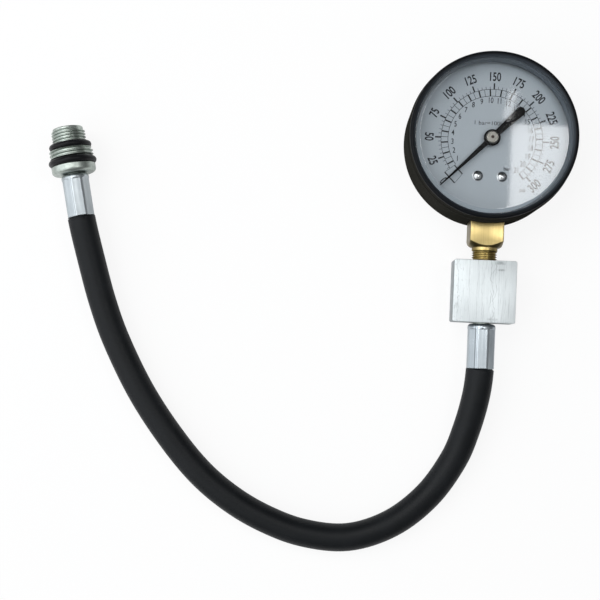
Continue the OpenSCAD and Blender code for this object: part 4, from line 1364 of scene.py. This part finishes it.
@dataclass
class CaseAndWindow(Assembly):
    """Drawn case, bezel ring, clear lens and the rubber ring under it."""

    case: float = 34.3
    edge: float = 2.0
    sheet: float = 0.9
    neck: float = 32.8
    inner: float = 31.9
    neck_z: float = 24.0
    rim_z: float = 26.6
    skirt: float = 32.85
    bezel: float = 33.7
    bead: float = 1.1
    window: float = 31.4
    skirt_z: float = 24.3
    lens: float = 32.5
    lens_z: float = 27.4
    lens_top: float = 29.4
    flat: float = 29.7
    rise: float = 0.35
    blend: float = 0.15
    front: float = 31.0
    band_radius: float = 33.0
    band_drop: float = 1.2
    screws: tuple[Point, ...] = ((-4.533, -22.0), (4.533, -22.0))

    def cup(self) -> Object:
        """Models the case with its stem opening and the two screw dimples in its back.

        Returns:
            The case.
        """
        inside, wall, under = self.edge - self.sheet, self.case - self.sheet, self.neck_z - self.sheet
        profile = [(0.0, 0.0)] + Bench.arc((self.case - self.edge, self.edge), self.edge, -90, 0, 10)
        profile += [(self.case, self.neck_z - 0.25), (self.case - 0.25, self.neck_z),
                    (self.neck, self.neck_z), (self.neck, self.rim_z), (self.inner, self.rim_z),
                    (self.inner, under), (wall, under)]
        profile += Bench.arc((wall - inside, self.edge), inside, 0, -90, 8) + [(0.0, self.sheet)]
        piece = Bench.turned("case_cup", profile, 160)
        boss = [(0, 0.1), (4.3, 0.1), (4.3, 2.0), (3.9, 2.4), (0, 2.4)]
        dip = [(0, -1), (4.2, -1), (4.2, 0), (3.7, 0.12), (3.4, 0.5), (3.4, 1.5), (1.3, 1.5), (1.3, 3),
               (0, 3)]
        for x, y in self.screws:
            for shape, operation in ((boss, "UNION"), (dip, "DIFFERENCE")):
                Bench.boolean(piece, Bench.moved(Bench.turned("tool", shape, 48), x, y, 0), operation)
        Bench.boolean(piece, Bench.box("opening", (-6.9, -36, 6.1), (6.9, -25, 19.9)), "DIFFERENCE")
        Bench.smooth(piece)
        return piece

    def ring(self) -> Object:
        """Turns the bezel: skirt, round bead, fine groove and the sloped lip on the lens.

        Returns:
            The bezel.
        """
        r, top, bead, lens = self.bezel, self.front, self.bead, self.lens_top
        shoulder, groove = top - bead, r - 0.12
        profile = [(self.skirt, self.skirt_z), (r - 0.3, self.skirt_z), (r, self.skirt_z + 0.3),
                   (r, shoulder - 1.6), (groove, shoulder - 1.5), (groove, shoulder - 1.2),
                   (r, shoulder - 1.1)]
        profile += Bench.arc((r - bead, shoulder), bead, 0, 150, 12)
        profile += [(r - 2.1, top - 0.6), (r - 2.15, top - 0.66), (self.window + 0.05, lens + 0.55),
                    (self.window, lens + 0.35), (self.window, lens), (self.skirt, lens)]
        piece = Bench.turned("bezel_band", profile, 192)
        Bench.smooth(piece, 26.0)
        return piece

    def glass(self) -> Object:
        """Turns the lens: eased edges, a flat middle and a rim that slopes down to the bezel.

        Returns:
            The lens.
        """
        out, low, high, flat, blend = self.lens, self.lens_z, self.lens_top, self.flat, self.blend
        foot, top = self.window - 0.1, high + self.rise
        drop = self.rise / (foot - flat) * blend
        profile = [(0, low), (out - 0.2, low), (out, low + 0.2), (out, high - 0.4), (out - 0.4, high),
                   (foot, high), (flat + blend, top - drop), (flat, top - 0.25 * drop), (flat - blend, top),
                   (flat - 2 * blend, top), (0, top)]
        piece = Bench.turned("lens_sheet", profile, 160)
        Bench.smooth(piece, 20.0)
        return piece

    def spacer(self) -> Object:
        """Turns the rubber ring under the lens, with its skirt that slopes in over the dial.

        Returns:
            The ring.
        """
        low, rim, high, out, back = self.rim_z - 3.0, self.rim_z, self.lens_z, self.lens - 0.05, 31.6
        profile = [(31.15, high), (out, high), (out, rim), (back, rim), (back, low), (30.9, low),
                   (30.7, low + 0.1), (30.65, low + 0.3)]
        piece = Bench.turned("lens_spacer", profile, 160)
        Bench.smooth(piece, 30.0)
        return piece

    def build(self) -> None:
        """Models the case, the bezel, the lens and the ring under it."""
        self.fit(self.spacer(), self.finishes.spacer, Slot.RUBBER, "lens_gasket")
        self.fit(self.cup(), self.finishes.case, Slot.PAINT, "gauge_case")
        band = self.fit(self.ring(), self.finishes.bezel, Slot.PAINT, "bezel_ring")
        side, below = self.band_radius * MM, (self.front - self.band_drop) * MM
        self.second(band, self.finishes.case, lambda radius, height: radius > side and height < below)
        sheet = self.fit(self.glass(), self.finishes.lens, Slot.LENS, "lens")
        flat, above = self.flat * MM, self.lens_top * MM
        self.second(sheet, self.finishes.lens_edge, lambda radius, height: radius > flat and height > above)


@dataclass
class DialAndPointer(Assembly):
    """Silver dial with its print, its two screws, the pointer and its hub."""

    top: float = 20.5
    sheet: float = 0.5
    radius: float = 31.6
    zero: float = 225.0
    travel: float = 270.0
    full_scale: int = 300
    numbered: int = 25
    upright: Point = (75, 225)
    last_bar: int = 21
    psi_per_bar: float = 14.504
    inner_arc: float = 17.8
    outer_arc: float = 20.6
    major_end: float = 23.1
    minor_end: float = 21.7
    arc_line: float = 0.19
    fine_line: float = 0.18
    heavy_line: float = 0.6
    figures: float = 25.6
    bar_figures: float = 16.0
    ink: float = 0.036
    box_low: float = 18.3
    box_high: float = 23.1
    box_side: float = 7.4
    print_shift: Point = (0.25, -0.35)
    print_turn: float = -0.5
    screws: tuple[Point, ...] = ((-4.9, -15.4), (4.9, -15.4))
    needle_z: Point = (23.0, 23.5)
    eye: float = 3.4
    needle_tip: float = 28.6
    tip_half: float = 0.2
    root_half: float = 1.05
    tail: float = 17.5
    tail_half: float = 1.28
    paddle: float = 1.9
    hub: float = 2.65
    hub_top: float = 25.3

    def angle(self, psi: float) -> float:
        """Direction of a pressure on the dial, in degrees."""
        return self.zero - self.travel * psi / self.full_scale

    def around(self, psi: float, radius: float) -> Point:
        """Place on the dial of a pressure at a radius."""
        a = math.radians(self.angle(psi))
        return radius * math.cos(a), radius * math.sin(a)

    @staticmethod
    def drill(radius: float, low: float, high: float) -> Object:
        """Turns a drill that reaches past both sides of a sheet."""
        return Bench.turned("drill", [(0, low - 1), (radius, low - 1), (radius, high + 1), (0, high + 1)], 32)

    def plate(self) -> Object:
        """Turns the dial with a rolled edge, and drills its holes.

        Returns:
            The dial.
        """
        low, high, r = self.top - self.sheet, self.top, self.radius
        profile = [(1.35, low), (r, low), (r, high - 0.15), (r - 0.15, high), (1.45, high),
                   (1.35, high - 0.1)]
        piece = Bench.turned("dial_sheet", profile, 160)
        for x, y in self.screws:
            Bench.boolean(piece, Bench.moved(self.drill(1.15, low, high), x, y, 0), "DIFFERENCE")
        Bench.smooth(piece)
        return piece

    def printed(self, x: float, y: float) -> Matrix:
        """Step from the origin to a place in the middle of the ink."""
        return Matrix.Translation((x * MM, y * MM, (self.top + self.ink / 2) * MM))

    def tick(self, start: float, end: float, width: float, degrees: float) -> Object:
        """Draws one scale line.

        Args:
            start: Radius where it starts.
            end: Radius where it ends.
            width: Its width.
            degrees: Its direction.

        Returns:
            The line.
        """
        bpy.ops.object.select_all(action="DESELECT")
        bpy.ops.mesh.primitive_plane_add(size=1, location=(0, 0, 0))
        piece = bpy.context.object
        piece.data.transform(Matrix.Rotation(math.radians(degrees), 4, "Z")
                             @ self.printed((start + end) / 2, 0)
                             @ Matrix.Diagonal(((end - start) * MM, width * MM, 1, 1)))
        return piece

    def sweep(self, radius: float, psi: float) -> Object:
        """Draws one arc of the scale band, from the zero box to a pressure.

        Args:
            radius: Radius of the arc.
            psi: Pressure where it ends.

        Returns:
            The arc.
        """
        start, height, half = self.zero - self.box_side, self.top + self.ink / 2, self.arc_line / 2
        first, turn = math.radians(start), math.radians(start - self.angle(psi))
        ends = [(r * math.cos(first), r * math.sin(first), height) for r in (radius - half, radius + half)]
        piece = Bench.chain("arc", ends, False)
        bpy.ops.mesh.spin(steps=160, angle=turn, center=(0, 0, 0), axis=(0, 0, 1))
        Bench.tidy()
        return piece

    def word(self, text: str, spot: Point, height: float, degrees: float, narrow: float,
             bold: float) -> Object:
        """Sets one number or unit of the print.

        Args:
            text: The characters.
            spot: Middle of them.
            height: Height of a figure.
            degrees: Turn of the line of text.
            narrow: Width, as a share of the plain letter's.
            bold: Added thickness of the strokes.

        Returns:
            The characters as a mesh.
        """
        bpy.ops.object.select_all(action="DESELECT")
        bpy.ops.object.text_add(location=(0, 0, 0))
        letters = bpy.context.object.data
        letters.body, letters.size, letters.offset = text, height * MM / 0.69, bold * MM
        letters.align_x = letters.align_y = "CENTER"
        letters.resolution_u = 6
        bpy.ops.object.convert(target="MESH")
        piece = bpy.context.object
        piece.data.transform(self.printed(*spot) @ Matrix.Rotation(math.radians(degrees), 4, "Z")
                             @ Matrix.Diagonal((narrow, 1, 1, 1)))
        return piece

    def zero_box(self) -> list[Object]:
        """Draws the box round the zero line: heavy lines across, fine ones along.

        Returns:
            Its four sides.
        """
        way = Matrix.Rotation(math.radians(self.zero), 4, "Z")
        slope = math.radians(self.box_side)
        low, high = self.box_low / math.cos(slope), self.box_high / math.cos(slope)
        sides = [self.tick(low, high, 0.15, self.zero + side) for side in (-self.box_side, self.box_side)]
        for place in (self.box_low, self.box_high):
            half = place * math.tan(slope)
            across = self.tick(-half, half, 0.5, 90)
            across.data.transform(way @ Matrix.Translation((place * MM, 0, 0)))
            sides.append(across)
        return sides

    def print(self) -> Object:
        """Prints the two scales, their numbers and their units.

        Returns:
            The print as one thin mesh.
        """
        marks = [self.sweep(radius, self.last_bar * self.psi_per_bar)
                 for radius in (self.inner_arc, self.outer_arc)]
        for psi in range(10, self.full_scale + 1, 5):
            major = psi % self.numbered == 0
            end, width = (self.major_end, self.heavy_line) if major else (self.minor_end, self.fine_line)
            marks.append(self.tick(self.outer_arc, end, width, self.angle(psi)))
        for half in range(2, 2 * self.last_bar + 1):
            width = self.fine_line if half % 2 else self.heavy_line
            turn = self.angle(half / 2 * self.psi_per_bar)
            marks.append(self.tick(self.inner_arc, self.outer_arc, width, turn))
        for psi in range(self.numbered, self.full_scale + 1, self.numbered):
            turn = self.angle(psi) + (-90 if self.upright[0] <= psi <= self.upright[1] else 90)
            marks.append(self.word(str(psi), self.around(psi, self.figures), 3.4, turn, 0.70, 0.09))
        marks.append(self.word("0", self.around(2.0, 26.0), 3.2, self.zero + 90, 0.62, 0.04))
        for bar in range(1, self.last_bar + 1):
            spot = self.around(bar * self.psi_per_bar, self.bar_figures)
            marks.append(self.word(str(bar), spot, 2.2, 0, 0.74, 0.025))
        marks += self.zero_box()
        marks.append(self.word("1 bar=100kPa", (-0.5, 6.6), 1.6, 0, 1.12, 0.0))
        marks.append(self.word("bar", (6.6, -11.7), 1.5, 0, 0.95, 0.03))
        marks.append(self.word("psi", (13.3, -20.0), 1.6, 0, 0.95, 0.03))
        piece = Bench.joined("dial_print", marks)
        piece.data.transform(Matrix.Rotation(math.radians(self.print_turn), 4, "Z"))
        Bench.moved(piece, *self.print_shift, 0)
        solid = piece.modifiers.new("Ink", "SOLIDIFY")
        solid.thickness, solid.offset = self.ink * MM, 0.0
        Bench.take(piece)
        bpy.ops.object.modifier_apply(modifier=solid.name)
        return piece

    def screw_heads(self) -> Object:
        """Turns one domed screw and copies it.

        Returns:
            Both screws.
        """
        z = self.top
        dome = [(0, z - 3.0), (1.1, z - 3.0), (1.1, z), (2.05, z), (2.1, z + 0.1), (2.1, z + 0.3)]
        dome += Bench.arc((0, z - 1.6), 2.75, 45, 90, 10)
        first = Bench.turned("dial_screw", dome, 64)
        pair = (first, Bench.copied(first))
        for screw, (x, y) in zip(pair, self.screws):
            Bench.moved(screw, x, y, 0)
        piece = Bench.joined("dial_screw_pair", pair)
        Bench.smooth(piece, 40.0)
        return piece

    def needle(self) -> Object:
        """Stamps the pointer: eye, tapered needle and a tail with a rounded paddle.

        Returns:
            The pointer.
        """
        eye, tip, (low, high) = self.eye, self.needle_tip, self.needle_z
        near, back = (math.degrees(math.asin(half / eye)) for half in (self.root_half, self.tail_half))
        outline = [(tip, -self.tip_half), (tip, self.tip_half)] + Bench.arc((0, 0), eye, near, 180 - back, 18)
        outline += Bench.arc((self.paddle - self.tail, 0), self.paddle, 92, 268, 16)
        outline += Bench.arc((0, 0), eye, 180 + back, 360 - near, 18)
        piece = Bench.chain("needle", [(x, y, low) for x, y in outline], True)
        bpy.ops.mesh.edge_face_add()
        bpy.ops.mesh.extrude_region_move(TRANSFORM_OT_translate={"value": (0, 0, (high - low) * MM)})
        Bench.tidy()
        Bench.boolean(piece, self.drill(1.27, low, high), "DIFFERENCE")
        Bench.eased(piece, 0.12, 50.0)
        piece.data.transform(Matrix.Rotation(math.radians(self.zero), 4, "Z"))
        Bench.smooth(piece, 40.0)
        return piece

    def cap(self) -> Object:
        """Turns the hub: rounded edge, shallow dish and a dark centre hole.

        Returns:
            The hub.
        """
        low, high, r, edge = self.needle_z[1], self.hub_top, self.hub, 0.7
        profile = [(0.77, 22.4), (1.25, 22.4), (1.25, low), (r - 0.1, low), (r, low + 0.1)]
        profile += Bench.arc((r - edge, high - edge), edge, 0, 90, 8)
        profile += [(0.62, high - 0.02), (0.5, high - 0.12), (0.5, high - 0.6), (0, high - 0.6), (0, 24.5),
                    (0.77, 24.5)]
        piece = Bench.turned("hub_cap", profile, 96)
        Bench.smooth(piece)
        return piece

    def build(self) -> None:
        """Models the dial, its print, its screws, the pointer and the hub."""
        self.fit(self.plate(), self.finishes.dial, Slot.DIAL, "dial_plate")
        self.fit(self.print(), self.finishes.ink, Slot.NEEDLE)
        self.fit(self.screw_heads(), self.finishes.chrome, Slot.SCREWS, "dial_screws")
        self.fit(self.needle(), self.finishes.needle, Slot.NEEDLE, "pointer", body=Body.POINTER)
        self.fit(self.cap(), self.finishes.hub, Slot.HUB, "pointer_hub", body=Body.POINTER)


@dataclass
class Movement(Assembly):
    """Inner pieces, which keep their CAD shapes."""

    brass = ("dial_posts", "hairspring_collet", "hairspring", "sector_gear", "link", "tube_end_piece",
             "bourdon_tube", "movement_bottom_plate", "movement_top_plate", "movement_pillars", "valve_core",
             "valve_pin")
    steel = ("pinion_arbor", "sector_arbor", "tail_pin", "tip_pin", "case_screws")
    rubber = ("valve_seal",)
    plated = ("hose_nipple",)

    def build(self) -> None:
        """Gives every CAD node that shows or moves its finish."""
        groups = ((self.brass, self.finishes.movement), (self.steel, self.finishes.steel),
                  (self.rubber, self.finishes.rings), (self.plated, self.finishes.zinc))
        for names, finish in groups:
            for name in names:
                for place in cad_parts[name].material_slots:
                    place.material = finish
                LOG.info("%s: %s", name, finish.name)


@dataclass
class Studio:
    """Camera, table and soft light."""

    finishes: Finishes
    position: Spot = (-64.87, -91.38, 521.09)
    right: Spot = (0.99881, 0.0456, -0.01736)
    up: Spot = (-0.04477, 0.99796, 0.04556)
    back: Spot = (0.0194, -0.04473, 0.99881)
    focal_px: float = 1238.5
    frame_px: float = 600.0
    sensor: float = 36.0
    mirrored: Point = (0.135, 0.19)
    onlooker: Point = (0.12, 0.32)

    def camera(self) -> None:
        """Sets the camera where the photograph was taken from."""
        bpy.ops.object.camera_add(location=(0, 0, 0))
        camera = bpy.context.object
        turn = Matrix((self.right, self.up, self.back)).transposed().to_4x4()
        camera.matrix_world = Matrix.Translation([c * MM for c in self.position]) @ turn
        camera.data.sensor_width = self.sensor
        camera.data.lens = self.sensor * self.focal_px / self.frame_px
        camera.data.clip_start, camera.data.clip_end = 0.01, 20.0
        bpy.context.scene.camera = camera

    @staticmethod
    def lamp(name: str, spot: Spot, aim: Spot, size: Point, watts: float,
             tone: Colour = (1.0, 1.0, 1.0), turn: float = 0.0) -> None:
        """Adds a soft lamp.

        Args:
            name: Its name.
            spot: Where it is.
            aim: What it points at.
            size: Its width and height, in metres.
            watts: Its power.
            tone: Its colour.
            turn: Turn about its own axis, in degrees.
        """
        bpy.ops.object.light_add(type="AREA", location=[c * MM for c in spot])
        lamp = bpy.context.object
        lamp.name = name
        lamp.rotation_euler = (Vector(aim) - Vector(spot)).to_track_quat("-Z", "Y").to_euler()
        lamp.rotation_euler.rotate_axis("Z", math.radians(turn))
        lamp.data.shape = "RECTANGLE"
        lamp.data.size, lamp.data.size_y = size
        lamp.data.energy = watts
        lamp.data.color = tone
        lamp.visible_camera = False

    def room(self) -> None:
        """Lights the room: brighter overhead and to the left, dark behind the camera and beyond the gauge."""
        world = bpy.data.worlds.new("room")
        bpy.context.scene.world = world
        paint = Paint("room", world)
        way = paint.node("ShaderNodeTexCoord", output="Generated")
        x, y, z = (paint.part(way, name) for name in "XYZ")
        level = paint.spread(z, 0.0, 0.9, 0.22, 0.55) - x * 0.14
        behind = paint.reach(x - self.mirrored[0], y - self.mirrored[1])
        shade = paint.spread(behind, 0.12, 0.3, 0.02, 1.0) * paint.spread(y, 0.4, 0.65, 1.0, 0.1)
        near = paint.reach(x - self.onlooker[0], z - self.onlooker[1])
        shade = shade * (paint.spread(near, 0.16, 0.34, 0.08, 1.0) | (y > -0.5))
        seen = paint.node("ShaderNodeLightPath", output="Is Camera Ray")
        strength = (level | 0.05) * shade | seen
        light = paint.node("ShaderNodeBackground", None, {"Color": (0.97, 0.985, 1.0), "Strength": strength})
        paint.node("ShaderNodeOutputWorld", None, {"Surface": light})

    def build(self) -> None:
        """Sets the table, the lamps and the room."""
        bpy.ops.object.select_all(action="DESELECT")
        bpy.ops.mesh.primitive_plane_add(size=4.0, location=(-0.06, -0.07, -0.0003))
        table = Bench.named("table")
        table.data.materials.append(self.finishes.table)
        self.lamp("soft_overhead", (-420, 260, 900), (-60, -60, 0), (0.7, 0.7), 2.8)
        self.lamp("soft_left", (-700, -200, 520), (-60, -50, 0), (1.1, 1.1), 4.6, (0.94, 0.97, 1.0))
        self.lamp("window_far", (-88, 85, 560), (-88, 85, 0), (0.10, 0.14), 0.15)
        self.lamp("window", (152, 5, 544), (152, 5, 0), (0.14, 0.20), 0.45)
        self.lamp("window_strip", (80, 120.5, 544), (80, 120.5, 0), (0.007, 0.024), 0.0018, turn=-13.0)
        self.room()
        bpy.context.scene.view_settings.view_transform = "Standard"


def main() -> None:
    """Builds the tester piece by piece and reports each one."""
    logging.basicConfig(level=logging.INFO, format="%(message)s", stream=sys.stdout)
    finishes = Finishes()
    studio = Studio(finishes)
    studio.camera()
    plug_pieces = PlugEnd(finishes).build()
    sleeve = Ferrules(finishes).build()
    coil = ValveSpring(finishes).build()
    valve = [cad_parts[name] for name in ("valve_core", "valve_seal", "valve_pin")]
    Hose(finishes).build([*plug_pieces, sleeve, coil, *valve])
    StemAndBlock(finishes).build()
    CaseAndWindow(finishes).build()
    DialAndPointer(finishes).build()
    Movement(finishes).build()
    studio.build()


if __name__ == "__main__":
    main()
